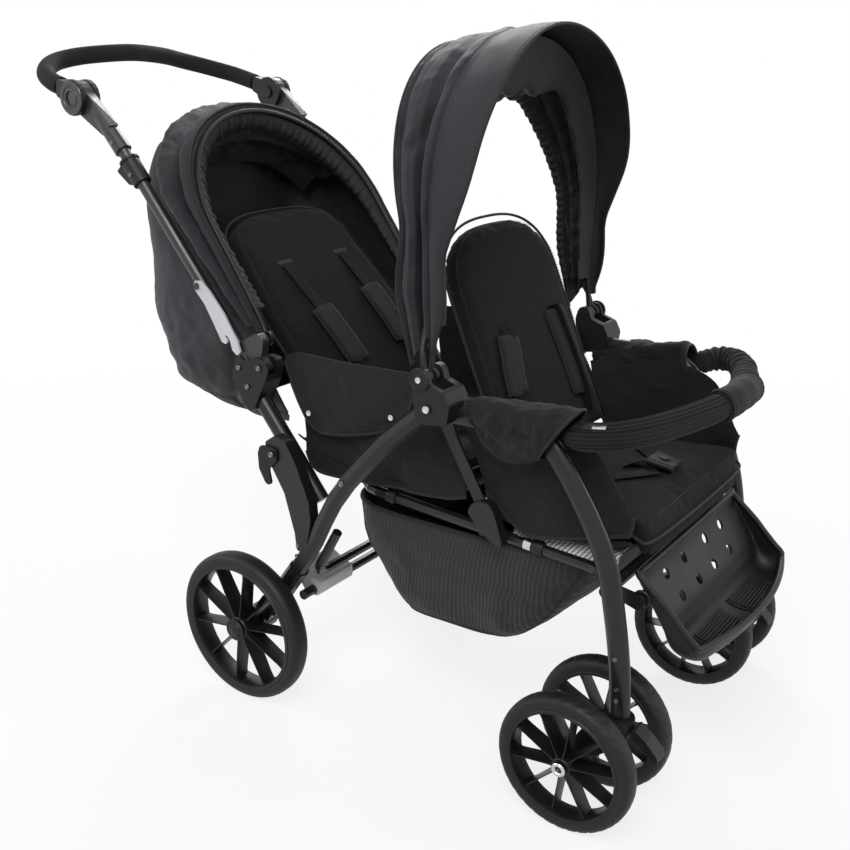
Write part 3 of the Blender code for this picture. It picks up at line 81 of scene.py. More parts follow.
# Stations of the armrest sleeves, as (y and z at the top, y and z at the bottom, half-width)
COVER_LEFT = [(0.3160, 0.5400, 0.3000, 0.4600, 0.0160), (0.2700, 0.5450, 0.2600, 0.4480, 0.0200),
              (0.2350, 0.5530, 0.2200, 0.4440, 0.0225),
              (0.2000, 0.5570, 0.1850, 0.4520, 0.0235), (0.1660, 0.5600, 0.1500, 0.4660, 0.0245),
              (0.1480, 0.5580, 0.1330, 0.4860, 0.0255)]
COVER_RIGHT = [(0.2780, 0.5600, 0.2600, 0.5240, 0.0150), (0.2600, 0.5640, 0.2440, 0.5080, 0.0190),
               (0.2400, 0.5680, 0.2300, 0.4960, 0.0225),
               (0.2040, 0.5710, 0.2120, 0.4910, 0.0240), (0.1600, 0.5700, 0.1900, 0.4905, 0.0250),
               (0.1280, 0.5720, 0.1740, 0.4950, 0.0265),
               (0.1080, 0.5750, 0.1620, 0.5010, 0.0285)]
# Levels of the rear shell, as (height, front y, back y, half-width)
SHELL_LEVELS = [(0.8800, 0.9150, 0.9350, 0.1150), (0.8600, 0.8930, 0.9420, 0.1650),
                (0.8100, 0.8460, 0.9480, 0.1960),
                (0.7620, 0.8060, 0.9520, 0.2060), (0.7000, 0.7580, 0.9540, 0.2060),
                (0.6500, 0.7150, 0.9620, 0.2040),
                (0.6050, 0.6880, 0.9740, 0.2020), (0.5780, 0.6780, 0.9740, 0.2000),
                (0.5450, 0.6680, 0.9640, 0.1980),
                (0.5050, 0.6560, 0.9500, 0.1940), (0.4760, 0.6500, 0.9360, 0.1860),
                (0.4600, 0.6500, 0.9000, 0.1780)]
# Arches of the rear hood from its bow back, as (degrees, half-width, height)
REAR_HOOD_ARCHES = [(56.0, 0.2185, 0.4030), (55.6, 0.2230, 0.4065), (54.9, 0.2265, 0.4105),
                    (53.9, 0.2265, 0.4105),
                    (53.1, 0.2200, 0.4040), (52.6, 0.2130, 0.3990), (52.1, 0.2180, 0.4050),
                    (51.4, 0.2320, 0.4190),
                    (50.2, 0.2420, 0.4300), (48.9, 0.2420, 0.4290), (47.2, 0.2340, 0.4190),
                    (45.5, 0.2200, 0.4060)]
REAR_HOOD_BACK, REAR_BOW = math.radians(45.5), math.radians(56.0)
# How far the visor stands forward of its seam, as (height, depth)
VISOR_DEPTH = [(0.620, 0.004), (0.640, 0.011), (0.655, 0.018), (0.690, 0.024), (0.744, 0.023), (0.785, 0.040),
               (0.833, 0.060),
               (0.868, 0.068), (0.945, 0.077), (1.000, 0.080), (1.040, 0.078)]
# Arches of the front hood's lining, as (degrees, inset at the sides, inset at the top)
FRONT_LINING = [(75.0, 0.000, 0.000), (74.4, 0.010, 0.026), (74.2, 0.019, 0.064), (75.5, 0.022, 0.086),
                (77.5, 0.021, 0.084), (79.5, 0.012, 0.078), (82.0, 0.022, 0.086), (85.0, 0.013, 0.074),
                (88.4, 0.032, 0.076), (90.5, 0.014, 0.032), (92.0, 0.004, 0.006)]
# Folds of the front hood, as (share of the way from bow to seam, lift)
FRONT_FOLDS = [(0, 0), (0.05, 0.0006), (0.13, -0.0055), (0.24, 0.0015), (0.40, 0.0045), (0.54, 0.0010),
               (0.63, -0.0100),
               (0.70, -0.0160), (0.77, -0.0110), (0.83, 0.0040), (0.89, 0.0070), (0.95, 0.0050), (1, 0)]
# Height of the front hood's arches above their pivot, and the slopes of its bow and its seam
HOOD_TOP = 0.4440
FRONT_REAR, FRONT_SEAM = math.radians(75.5), math.radians(88.4)


# Points and curves

def at(x, y, z):
    """Points in the stroller's frame from x, distance behind the datum and height."""
    x, y, z = np.broadcast_arrays(np.asarray(x, float), np.asarray(y, float), np.asarray(z, float))
    return np.stack([x, y - MIDDLE, z], -1)


def along(place, angle, distance, offset=0.0):
    """A place some distance along a slope, and offset at right angles to it."""
    return (
        place[0] + distance * np.cos(angle) - offset * np.sin(angle),
        place[1] + distance * np.sin(angle) + offset * np.cos(angle),
    )


def curve(points, count):
    """A smooth curve through the points, resampled to a number of points."""
    p = np.asarray(points, float)
    p = np.vstack([2 * p[0] - p[1], p, 2 * p[-1] - p[-2]])
    s = np.linspace(0, len(p) - 3, count)
    i = np.minimum(s.astype(int), len(p) - 4)
    t = (s - i)[:, None]
    a, b, c, d = p[i], p[i + 1], p[i + 2], p[i + 3]
    return b + (c - a) * t / 2 + (2 * a - 5 * b + 4 * c - d) * t**2 / 2 + (3 * b - a - 3 * c + d) * t**3 / 2


def even(points, step):
    """The same line with points a fixed step apart."""
    p = np.asarray(points, float)
    run = np.concatenate([[0], np.cumsum(np.linalg.norm(np.diff(p, axis=0), axis=1))])
    count = max(2, int(round(run[-1] / step)) + 1)
    s = np.linspace(0, run[-1], count)
    return np.stack([np.interp(s, run, p[:, k]) for k in range(p.shape[1])], 1)


def unit(v):
    """Vectors scaled to a length of one."""
    return v / np.maximum(np.linalg.norm(v, axis=-1, keepdims=True), 1e-12)


def smooth(x):
    """An eased step from 0 to 1."""
    x = np.clip(x, 0, 1)
    return x * x * (3 - 2 * x)


def signed_power(value, power):
    """A power that keeps the sign, for sections between round and square."""
    return np.sign(value) * np.abs(value) ** power


def rumple(points, size, depth, seed):
    """A smooth random height at each point, for soft creases."""
    flat = points.reshape(-1, 3)
    shift = Vector((seed * 7.3, seed * 3.1, seed * 5.7))
    values = [noise.fractal(Vector(p) / size + shift, 0.8, 2.1, 3) for p in flat]
    return np.array(values).reshape(points.shape[:-1]) * depth


def grid_normals(p):
    """Surface normals of a grid of points."""
    a = np.gradient(p, axis=0)
    b = np.gradient(p, axis=1)
    return unit(np.cross(b, a))


# Mesh makers

def linked(name, data):
    """A new object in the scene."""
    made = bpy.data.objects.new(name, data)
    bpy.context.scene.collection.objects.link(made)
    return made


def faced(thing, spot, aim):
    """Turns a piece that was made about X to face along aim, and moves it to its place."""
    turn = Vector(aim).to_track_quat("X", "Z").to_matrix().to_4x4()
    thing.data.transform(Matrix.Translation(Vector(spot)) @ turn)
    return thing


def new_object(name, points, faces, materials, crease=60, indices=None):
    """A piece from points and faces, with its materials and its sharp edges."""
    data = bpy.data.meshes.new(name)
    data.from_pydata(np.asarray(points, float).reshape(-1, 3).tolist(), [], [list(map(int, f)) for f in faces])
    for material in materials if isinstance(materials, (list, tuple)) else [materials]:
        data.materials.append(material)
    if indices is not None:
        data.polygons.foreach_set("material_index", np.asarray(indices, np.int32))
    data.shade_smooth()
    data.set_sharp_from_angle(angle=math.radians(crease))
    data.update()
    return linked(name, data)


def grid_faces(rows, columns, start=0, wrap=False, flip=False):
    """Quads of a grid whose points are numbered row by row."""
    i = np.arange(rows - 1)[:, None]
    j = np.arange(columns if wrap else columns - 1)[None, :]
    k = (j + 1) % columns
    quad = np.stack(np.broadcast_arrays(i * columns + j, i * columns + k, (i + 1) * columns + k,
                                        (i + 1) * columns + j), -1)
    quad = quad.reshape(-1, 4) + start
    return quad[:, ::-1] if flip else quad


def cloth(name, p, materials, thickness=0.002, wrap=False, crease=60):
    """A cloth piece with two skins and a hem, from a grid of points on its middle surface."""
    rows, columns = p.shape[:2]
    if wrap:
        big = np.concatenate([p[:, -1:], p, p[:, :1]], 1)
        n = grid_normals(big)[:, 1:-1]
    else:
        n = grid_normals(p)
    points = np.concatenate([(p + n * thickness / 2).reshape(-1, 3), (p - n * thickness / 2).reshape(-1, 3)])
    half = rows * columns
    outer = grid_faces(rows, columns, 0, wrap)
    inner = grid_faces(rows, columns, half, wrap, True)
    if wrap:
        ends = [
            np.append(np.arange(columns), 0),
            (rows - 1) * columns + np.append(np.arange(columns), 0)[::-1],
        ]
    else:
        ends = [np.concatenate([
            np.arange(columns),
            np.arange(1, rows) * columns + columns - 1,
            (rows - 1) * columns + np.arange(columns - 2, -1, -1),
            np.arange(rows - 2, -1, -1) * columns,
        ])]
    rim = np.concatenate([np.stack([e[1:], e[:-1], e[:-1] + half, e[1:] + half], -1) for e in ends])
    faces = np.concatenate([outer, inner, rim])
    indices = np.concatenate([np.zeros(len(outer)), np.full(len(inner), 1 if len(materials) > 1 else 0),
                              np.zeros(len(rim))])
    return new_object(name, points, faces, materials, crease, indices.astype(int))


def frames(path, up=(0, 0, 1)):
    """Side and upward vectors carried along a path without twisting."""
    t = unit(np.gradient(path, axis=0))
    n = np.array(up, float)
    n = unit(n - t[0] * (n @ t[0]))
    ups = []
    for k in range(len(path)):
        n = unit(n - t[k] * (n @ t[k]))
        ups.append(n)
    ups = np.array(ups)
    return np.cross(t, ups), ups, t


def sweep(name, path, section, materials, up=(0, 0, 1), caps=True, crease=50):
    """A closed section (points across and up, one set or one a station) carried along a path."""
    side, ups, _ = frames(path, up)
    section = np.asarray(section, float)
    if section.ndim == 2:
        section = np.repeat(section[None], len(path), 0)
    p = path[:, None] + side[:, None] * section[..., :1] + ups[:, None] * section[..., 1:2]
    rows, columns = p.shape[:2]
    faces = [list(f) for f in grid_faces(rows, columns, 0, True)]
    if caps:
        faces.append(list(range(columns)))
        faces.append([(rows - 1) * columns + j for j in reversed(range(columns))])
    made = new_object(name, p, faces, materials, crease)
    face_out(made)
    return made


def face_out(thing):
    """Turns the faces of a closed piece outward."""
    work = bmesh.new()
    work.from_mesh(thing.data)
    bmesh.ops.recalc_face_normals(work, faces=work.faces)
    work.to_mesh(thing.data)
    work.free()


def ring(radius, sides=24, wide=1.0, high=1.0):
    """A round or oval section."""
    t = np.linspace(0, 2 * PI, sides, endpoint=False)
    return np.stack([radius * wide * np.cos(t), radius * high * np.sin(t)], 1)


def tube(name, path, radius, materials, sides=20, wide=1.0, high=1.0, up=(0, 0, 1)):
    """A tube along a path, with one radius or one a station."""
    path = np.asarray(path, float)
    radii = np.broadcast_to(np.asarray(radius, float), (len(path),))
    section = ring(1.0, sides, wide, high)[None] * radii[:, None, None]
    return sweep(name, path, section, materials, up)


def strap_section(width, thickness, corner=4):
    """The outline of a flat strap with rounded edges."""
    t = np.linspace(-PI / 2, PI / 2, corner + 2)
    r = thickness / 2
    right = np.stack([width / 2 - r + r * np.cos(t), r * np.sin(t)], 1)
    left = np.stack([-(width / 2 - r) - r * np.cos(t), -r * np.sin(t)], 1)
    return np.concatenate([right, left])


def strap(name, path, width, thickness, material, up=(0, 0, 1)):
    """A flat strap along a path."""
    return sweep(name, np.asarray(path, float), strap_section(width, thickness), material, up)


def lathe(profile, steps, ripple=None):
    """Grid points of a profile of (radius, x) turned about X."""
    profile = np.asarray(profile, float)
    a = np.linspace(0, 2 * PI, steps, endpoint=False)[None, :]
    r = profile[:, :1] + np.zeros_like(a)
    x = profile[:, 1:] + np.zeros_like(a)
    if ripple is not None:
        r = r + ripple(a, x, profile[:, :1])
    return np.stack([x, r * np.cos(a), r * np.sin(a)], -1)


def turned(name, profile, steps, material, ripple=None, closed=True, crease=35):
    """A piece turned about X from a profile of (radius, x)."""
    p = lathe(list(profile) + ([profile[0]] if closed else []), steps, ripple)
    if closed:
        rows = len(profile)
        faces = [[int(v) % (rows * steps) for v in f] for f in grid_faces(rows + 1, steps, 0, True)]
        made = new_object(name, p[:-1], faces, material, crease)
    else:
        made = new_object(name, p, grid_faces(len(profile), steps, 0, True), material, crease)
        work = bmesh.new()
        work.from_mesh(made.data)
        bmesh.ops.remove_doubles(work, verts=work.verts, dist=1e-5)
        work.to_mesh(made.data)
        work.free()
    face_out(made)
    return made


def button(name, centre, normal, radius, height, material, dish=0.0, steps=20):
    """A domed rivet or cap standing on a surface."""
    t = np.linspace(0, PI / 2, 6)
    dome = [(radius * math.cos(a), height * (0.35 + 0.65 * math.sin(a))) for a in t[:-1]]
    profile = [(0.0, -height * 0.5), (radius, -height * 0.5), (radius, height * 0.2), *dome[1:],
               (0.0, height * (1 - dish))]
    if dish:
        profile = [(0.0, -height * 0.5), (radius, -height * 0.5), (radius, height * 0.6),
                   (radius * 0.9, height),
                   (radius * 0.6, height), (radius * 0.5, height * (1 - dish)), (0.0, height * (1 - dish))]
    made = turned(name, profile, steps, material, closed=False)
    return faced(made, centre, normal)


def merge(name, things):
    """One object from several, which keeps each one's materials."""
    slots = []
    work = bmesh.new()
    for thing in things:
        first = len(work.faces)
        mesh = thing.data.copy()
        mesh.transform(thing.matrix_world)
        work.from_mesh(mesh)
        work.faces.ensure_lookup_table()
        for face in work.faces[first:]:
            material = thing.data.materials[face.material_index]
            if material not in slots:
                slots.append(material)
            face.material_index = slots.index(material)
        bpy.data.meshes.remove(mesh)
    data = bpy.data.meshes.new(name)
    work.to_mesh(data)
    work.free()
    for material in slots:
        data.materials.append(material)
    for thing in things:
        bpy.data.objects.remove(thing)
    return linked(name, data)


def soften(thing, width, degrees=35, weld=True):
    """Rounded edges, as moulded and pressed pieces have, added as modifiers."""
    if weld:
        step = thing.modifiers.new("weld", "WELD")
        step.merge_threshold = 0.00002
    step = thing.modifiers.new("rounded", "BEVEL")
    step.width = width
    step.segments = 2
    step.limit_method = "ANGLE"
    step.angle_limit = math.radians(degrees)
    step.use_clamp_overlap = True
    return thing


def stitches(name, path, normal, material, gap=0.0052, length=0.0034, radius=0.00035):
    """A row of sewn stitches that lie on a line, as one object."""
    path = even(path, gap)
    t = unit(np.gradient(path, axis=0))
    n = np.broadcast_to(np.asarray(normal, float), path.shape)
    centre = path + n * radius * 0.4
    sides = 5
    a = np.linspace(0, 2 * PI, sides, endpoint=False)
    b = unit(np.cross(t, n))
    circle = (np.cos(a)[None, :, None] * b[:, None] + np.sin(a)[None, :, None] * unit(np.cross(b, t))[:,
                                                                                                      None]) * radius
    first = centre[:, None] - t[:, None] * length / 2 + circle
    last = centre[:, None] + t[:, None] * length / 2 + circle
    points = np.stack([first, last], 1).reshape(-1, 3)
    faces = []
    for k in range(len(path)):
        base = k * 2 * sides
        faces += [[base + j, base + (j + 1) % sides, base + sides + (j + 1) % sides,
                   base + sides + j] for j in range(sides)]
        faces += [list(range(base, base + sides))[::-1], list(range(base + sides, base + 2 * sides))]
    return new_object(name, points, faces, material, 80)


# Materials

class Nodes:
    """Small helper for building a material's node tree."""

    def __init__(self, name):
        self.material = bpy.data.materials.new(name)
        self.material.use_nodes = True
        self.tree = self.material.node_tree
        self.shader = self.tree.nodes["Principled BSDF"]
        self.place = self.add("ShaderNodeTexCoord").outputs["Object"]

    def add(self, kind, **values):
        node = self.tree.nodes.new(kind)
        for key, value in values.items():
            if hasattr(node, key):
                setattr(node, key, value)
            else:
                node.inputs[key.replace("_", " ")].default_value = value
        return node

    def link(self, a, b):
        self.tree.links.new(a, b)

    def noise(self, scale, detail=3.0, rough=0.5, source=None):
        node = self.add("ShaderNodeTexNoise", Scale=scale, Detail=detail, Roughness=rough)
        self.link(source or self.place, node.inputs["Vector"])
        return node.outputs["Fac"]

    def math(self, operation, a, b=None):
        node = self.add("ShaderNodeMath", operation=operation)
        for socket, value in zip(node.inputs, (a, b)):
            if value is None:
                continue
            if isinstance(value, (int, float)):
                socket.default_value = value
            else:
                self.link(value, socket)
        return node.outputs[0]

    def ramp(self, value, low, high, to_low, to_high):
        node = self.add("ShaderNodeMapRange")
        for k, number in enumerate((low, high, to_low, to_high), 1):
            node.inputs[k].default_value = number
        self.link(value, node.inputs[0])
        return node.outputs[0]

    def waves(self, pitches, directions):
        """Sine ripples along directions of the object's own space, added together."""
        total = None
        for pitch, direction in zip(pitches, directions):
            dot = self.add("ShaderNodeVectorMath", operation="DOT_PRODUCT")
            self.link(self.place, dot.inputs[0])
            dot.inputs[1].default_value = [2 * PI / pitch * v for v in direction]
            wave = self.math("SINE", dot.outputs["Value"])
            total = wave if total is None else self.math("ADD", total, wave)
        return total

    def bump(self, height, strength, distance, below=None):
        node = self.add("ShaderNodeBump", Strength=strength, Distance=distance)
        self.link(height, node.inputs["Height"])
        if below is not None:
            self.link(below, node.inputs["Normal"])
        return node.outputs["Normal"]

    def colour(self, dark, light, factor):
        node = self.add("ShaderNodeMix", data_type="RGBA")
        node.inputs["A"].default_value = (*dark, 1)
        node.inputs["B"].default_value = (*light, 1)
        self.link(factor, node.inputs["Factor"])
        self.link(node.outputs["Result"], self.shader.inputs["Base Color"])


def scaled(colour, factor):
    """A colour made darker or lighter."""
    return tuple(min(1.0, c * factor) for c in colour)


def moulded(name, colour, roughness, grain=0.00003, grain_scale=1400.0, metallic=0.0, wear=0.5, level=0.45):
    """Moulded plastic, rubber or painted metal: fine grain, uneven gloss and rubbed edges."""
    m = Nodes(name)
    cloud = m.noise(9.0, 4.0)
    edge = m.add("ShaderNodeNewGeometry").outputs["Pointiness"]
    rubbed = m.math("MULTIPLY", m.ramp(edge, 0.52, 0.62, 0.0, wear), m.noise(60.0))
    mix = m.math("ADD", m.ramp(cloud, 0.3, 0.7, 0.0, 0.45), rubbed)
    m.colour(scaled(colour, 0.86), scaled(colour, 1.45), mix)
    m.link(m.ramp(m.noise(25.0, 5.0), 0.3, 0.7, roughness - 0.05, roughness + 0.07),
           m.shader.inputs["Roughness"])
    fine = m.bump(m.noise(grain_scale, 2.0), 0.6, grain)
    m.link(m.bump(m.noise(35.0, 2.0), 0.15, 0.0004, fine), m.shader.inputs["Normal"])
    m.shader.inputs["Metallic"].default_value = metallic
    m.shader.inputs["Specular IOR Level"].default_value = level
    return m.material


def woven(name, colour, roughness, pitch=0.0011, depth=0.0002, sheen=0.25, tint=(0.8, 0.8, 0.9), crease=0.0006,
          level=0.35):
    """Woven cloth: crossing threads, a soft nap and small creases."""
    m = Nodes(name)
    threads = m.waves((pitch, pitch, pitch), ((1, 0.05, 0), (0.05, 1, 0.1), (0, 0.1, 1)))
    heather = m.noise(420.0, 2.0)
    cloud = m.noise(7.0, 5.0)
    mix = m.math("ADD", m.ramp(cloud, 0.3, 0.7, 0.0, 0.5), m.ramp(heather, 0.35, 0.65, -0.15, 0.35))
    mix = m.math("ADD", mix, m.ramp(threads, -2.0, 2.0, -0.12, 0.18))
    m.colour(scaled(colour, 0.72), scaled(colour, 1.40), mix)
    m.shader.inputs["Roughness"].default_value = roughness
    m.shader.inputs["Sheen Weight"].default_value = sheen
    m.shader.inputs["Sheen Roughness"].default_value = 0.45
    m.shader.inputs["Sheen Tint"].default_value = (*tint, 1)
    m.shader.inputs["Specular IOR Level"].default_value = level
    fine = m.bump(threads, 0.5, depth)
    soft = m.bump(m.noise(26.0, 4.0, 0.55), 0.5, crease, fine)
    m.link(soft, m.shader.inputs["Normal"])
    return m.material


def webbing(name, colour):
    """Harness webbing, with ribs across its run."""
    m = Nodes(name)
    ribs = m.waves((0.0021, 0.0021), ((0, 0.7, 0.7), (0.25, 0.4, -0.88)))
    m.colour(scaled(colour, 0.6), scaled(colour, 1.7), m.ramp(ribs, -2.0, 2.0, 0.0, 1.0))
    m.shader.inputs["Roughness"].default_value = 0.75
    m.shader.inputs["Specular IOR Level"].default_value = 0.15
    m.link(m.bump(ribs, 0.8, 0.0004), m.shader.inputs["Normal"])
    return m.material


def mesh_cloth(name, colour):
    """Ribbed mesh knit: slanting columns with rows of small holes; the holes and troughs carry painted shade, darker
    colour in place of the shade seen through them.
    """
    m = Nodes(name)
    wander = m.noise(8.0, 2.0)
    dot = m.add("ShaderNodeVectorMath", operation="DOT_PRODUCT")
    m.link(m.place, dot.inputs[0])
    dot.inputs[1].default_value = (2 * PI / 0.0068 * 0.6, 2 * PI / 0.0068, 2 * PI / 0.0068 * 0.22)
    rib = m.math("SINE", m.math("ADD", dot.outputs["Value"], m.math("MULTIPLY", wander, 3.0)))
    rows = m.waves((0.0034,), ((0.2, 0.15, 1),))
    knit_and_hole_shade = m.math("ADD", rib, m.math("MULTIPLY", rows, 0.35))
    # Painted shade: the colour darkens in the knit's troughs and rows of holes and lightens on the ribs.
    m.colour(scaled(colour, 0.35), scaled(colour, 2.0), m.ramp(knit_and_hole_shade, -1.2, 1.3, 0.0, 1.0))
    m.shader.inputs["Roughness"].default_value = 0.75
    m.shader.inputs["Sheen Weight"].default_value = 0.1
    m.link(m.bump(knit_and_hole_shade, 0.8, 0.0007), m.shader.inputs["Normal"])
    return m.material


def bright(name, colour, roughness):
    """Bare metal with uneven gloss."""
    m = Nodes(name)
    m.colour(scaled(colour, 0.85), colour, m.ramp(m.noise(80.0, 4.0), 0.3, 0.7, 0.0, 1.0))
    m.link(m.ramp(m.noise(140.0, 3.0), 0.3, 0.7, roughness - 0.06, roughness + 0.08),
           m.shader.inputs["Roughness"])
    m.shader.inputs["Metallic"].default_value = 1.0
    m.link(m.bump(m.noise(900.0), 0.2, 0.00002), m.shader.inputs["Normal"])
    return m.material


PAINT = moulded("satin_frame_paint", (0.0075, 0.0075, 0.0081), 0.31, 0.00002, 1900.0, wear=0.8, level=0.38)
GREY_PAINT = moulded("satin_grey_tube", (0.0220, 0.0225, 0.0235), 0.33, 0.00002, 1900.0, wear=0.8, level=0.45)
PLASTIC = moulded("matt_black_plastic", (0.0075, 0.0075, 0.0080), 0.46, 0.00005, 1300.0, level=0.28)
WHEEL_PLASTIC = moulded("wheel_plastic", (0.0060, 0.0060, 0.0064), 0.40, 0.00004, 1500.0, level=0.28)
TYRE = moulded("tyre_rubber_black", (0.0065, 0.0065, 0.0070), 0.54, 0.00006, 1000.0, wear=0.3, level=0.32)
LIGHT_PLASTIC = moulded("light_grey_moulding", (0.50, 0.51, 0.53), 0.42, 0.00004, 1200.0, wear=0.2)
FOAM = moulded("grip_foam_black", (0.0110, 0.0110, 0.0115), 0.85, 0.00022, 800.0, wear=0.2, level=0.22)
SEAT = woven("seat_cloth_black", (0.0095, 0.0095, 0.0100), 0.90, 0.0010, 0.00012, 0.06, (0.6, 0.6, 0.62),
             0.0005, 0.14)
SIDE = woven("side_cloth_black", (0.0090, 0.0090, 0.0094), 0.80, 0.0012, 0.00018, 0.10, (0.7, 0.7, 0.72),
             0.0010, 0.20)
HOOD = woven("hood_cloth_charcoal", (0.0088, 0.0091, 0.0122), 0.58, 0.0012, 0.00018, 0.12, (0.75, 0.76, 0.9),
             0.0008, 0.28)
LINING = woven("hood_lining_black", (0.0070, 0.0070, 0.0078), 0.52, 0.0014, 0.00018, 0.08, (0.6, 0.6, 0.65),
               0.0012, 0.24)
BINDING = woven("edge_binding", (0.0085, 0.0085, 0.0090), 0.62, 0.0009, 0.0002, 0.10, (0.7, 0.7, 0.7), 0.0003,
                0.25)
THREAD = woven("sewing_thread", (0.018, 0.018, 0.020), 0.6, 0.0006, 0.0001, 0.2)
WEB = webbing("harness_webbing", (0.0052, 0.0052, 0.0056))
KNIT = mesh_cloth("basket_knit", (0.0058, 0.0058, 0.0062))
PALE_MESH = mesh_cloth("pale_spacer_mesh", (0.42, 0.42, 0.42))
STEEL = bright("bright_steel", (0.62, 0.62, 0.63), 0.24)
DARK_STEEL = bright("dark_rivet_steel", (0.16, 0.16, 0.165), 0.32)


def paint_node(name, material, bevel=0.0, degrees=35):
    """A new finish for a CAD node that stays, and softened edges where it is moulded."""
    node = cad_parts[name]
    for k in range(len(node.data.materials)):
        node.data.materials[k] = material
    if bevel:
        soften(node, bevel, degrees)


def dress_cad():
    """Finishes of the CAD nodes that stay."""
    for side, _ in SIDES:
        for name in ("rear_arm_", "side_rail_", "seat_strut_"):
            paint_node(name + side, PAINT)
        paint_node("push_tube_" + side, GREY_PAINT)
        paint_node("handle_sleeve_" + side, GREY_PAINT, 0.0008)
        for name in ("knuckle_", "hinge_bracket_", "fold_slider_", "handle_button_", "caster_fork_",
                     "swivel_lock_"):
            paint_node(name + side, PLASTIC, 0.0008)
    for name in ("front_cross_tube", "rear_axle_tube", "rear_cross_tube", "rear_seat_frame"):
        paint_node(name, PAINT)
    paint_node("handle_bar", PLASTIC, 0.0006)
    paint_node("handle_grip", FOAM)
    for name in ("fold_latch", "footrest"):
        paint_node(name, PLASTIC, 0.0008)
    for name in ("brake_pedal", "storage_hook"):
        paint_node(name, LIGHT_PLASTIC, 0.0008)


# Wheels

def tyre_profile(radius, seat, half):
    """Section of a tyre from bead to bead, as (radius, x)."""
    outer = []
    for t in np.linspace(-PI / 2, PI / 2, 15):
        outer.append((radius - 0.0125 + 0.0125 * abs(math.cos(t)) ** 0.75,
                      half * signed_power(math.sin(t), 0.8)))
    return [(seat, -half + 0.0012), *[tuple(map(float, p)) for p in outer], (seat, half - 0.0012)]


def blades(count, inner, outer, thickness, half_hub, half_rim, fillet=0.0045):
    """Flat radial blades that flare where they meet the hub and the rim."""
    points, faces = [], []
    stations = np.linspace(0, 1, 9)
    for k in range(count):
        a = 2 * PI * (k + 0.25) / count
        radial = np.array([0, math.sin(-a), math.cos(a)])
        across = np.array([0, math.cos(a), math.sin(a)])
        base = len(points)
        for s in stations:
            r = inner + (outer - inner) * s
            half = half_hub + (half_rim - half_hub) * s
            end = min(s, 1 - s) * (outer - inner)
            thick = thickness / 2 + fillet * max(0.0, 1 - end / 0.012) ** 2 * 0.5
            for x, w in ((-half, 0.55), (-half * 0.6, 1.0), (half * 0.6, 1.0), (half, 0.55)):
                points.append(np.array([x, 0, 0]) + radial * r + across * thick * w)
            for x, w in ((half, 0.55), (half * 0.6, 1.0), (-half * 0.6, 1.0), (-half, 0.55)):
                points.append(np.array([x, 0, 0]) + radial * r - across * thick * w)
        faces += [list(f) for f in grid_faces(len(stations), 8, base, True)]
        faces.append([base + j for j in range(8)])
        faces.append([base + (len(stations) - 1) * 8 + j for j in reversed(range(8))])
    made = new_object("blades", points, faces, WHEEL_PLASTIC, 50)
    face_out(made)
    return made


def front_wheel():
    """The front wheels' pattern: grooved tyre, rim, hub and blades."""
    radius, half = 0.1000, 0.0323 / 2

    def grooves(a, x, r):
        turn = a / (2 * PI) * 34 + np.abs(x) / half * 1.35
        near = np.abs(((turn % 1) - 0.5) * 2)
        depth = smooth((near - 0.72) / 0.16)
        zone = smooth((np.abs(x) / half - 0.10) / 0.15) * smooth((1.02 - np.abs(x) / half) / 0.10)
        return -0.0011 * depth * zone * (r > 0.0905)

    profile = tyre_profile(radius, 0.0790, half)
    tyre = turned("tyre", profile, 340, TYRE, grooves)
    h = half - 0.0016
    rim = turned("rim", [
        (0.0800, -h), (0.0825, -h - 0.0010), (0.0815, -h - 0.0022), (0.0775, -h - 0.0016),
        (0.0762, -h + 0.0015),
        (0.0752, 0.0), (0.0762, h - 0.0015), (0.0775, h + 0.0016), (0.0815, h + 0.0022), (0.0825, h + 0.0010),
        (0.0800, h),
    ], 96, WHEEL_PLASTIC)
    hub = turned("hub", [
        (0.0052, -0.0165), (0.0118, -0.0165), (0.0135, -0.0150), (0.0142, -0.0080), (0.0128, 0.0),
        (0.0142, 0.0080), (0.0135, 0.0150), (0.0118, 0.0165), (0.0052, 0.0165),
    ], 40, WHEEL_PLASTIC)
    return merge("front_wheel_look", [tyre, rim, hub, blades(10, 0.0120, 0.0770, 0.0026, 0.0142, 0.0118)])


def rear_wheel():
    """The rear wheels' pattern, with a smooth tyre that has a mould line."""
    radius, half = 0.1250, 0.0345 / 2
    tyre = turned("tyre", tyre_profile(radius, 0.1040, half), 160, TYRE,
                  lambda a, x, r: -0.0006 * (np.abs(x) < 0.0006) * (r > 0.12))
    h = half - 0.0018
    rim = turned("rim", [
        (0.1050, -h), (0.1078, -h - 0.0010), (0.1068, -h - 0.0024), (0.1015, -h - 0.0018),
        (0.0998, -h + 0.0020),
        (0.0985, 0.0), (0.0998, h - 0.0020), (0.1015, h + 0.0018), (0.1068, h + 0.0024), (0.1078, h + 0.0010),
        (0.1050, h),
    ], 110, WHEEL_PLASTIC)
    hub = turned("hub", [
        (0.0062, -0.0172), (0.0170, -0.0172), (0.0188, -0.0150), (0.0182, 0.0), (0.0188, 0.0150),
        (0.0170, 0.0172), (0.0062, 0.0172),
    ], 44, WHEEL_PLASTIC)
    return merge("rear_wheel_look", [tyre, rim, hub, blades(10, 0.0165, 0.1005, 0.0030, 0.0150, 0.0125, 0.006)])


def wheel_copy(name, pattern, place, body, *nodes):
    """A wheel that shares its pattern's mesh."""
    made = linked(name, pattern.data)
    made.location = Vector(place)
    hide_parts(*nodes)
    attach(made, body)
    return made


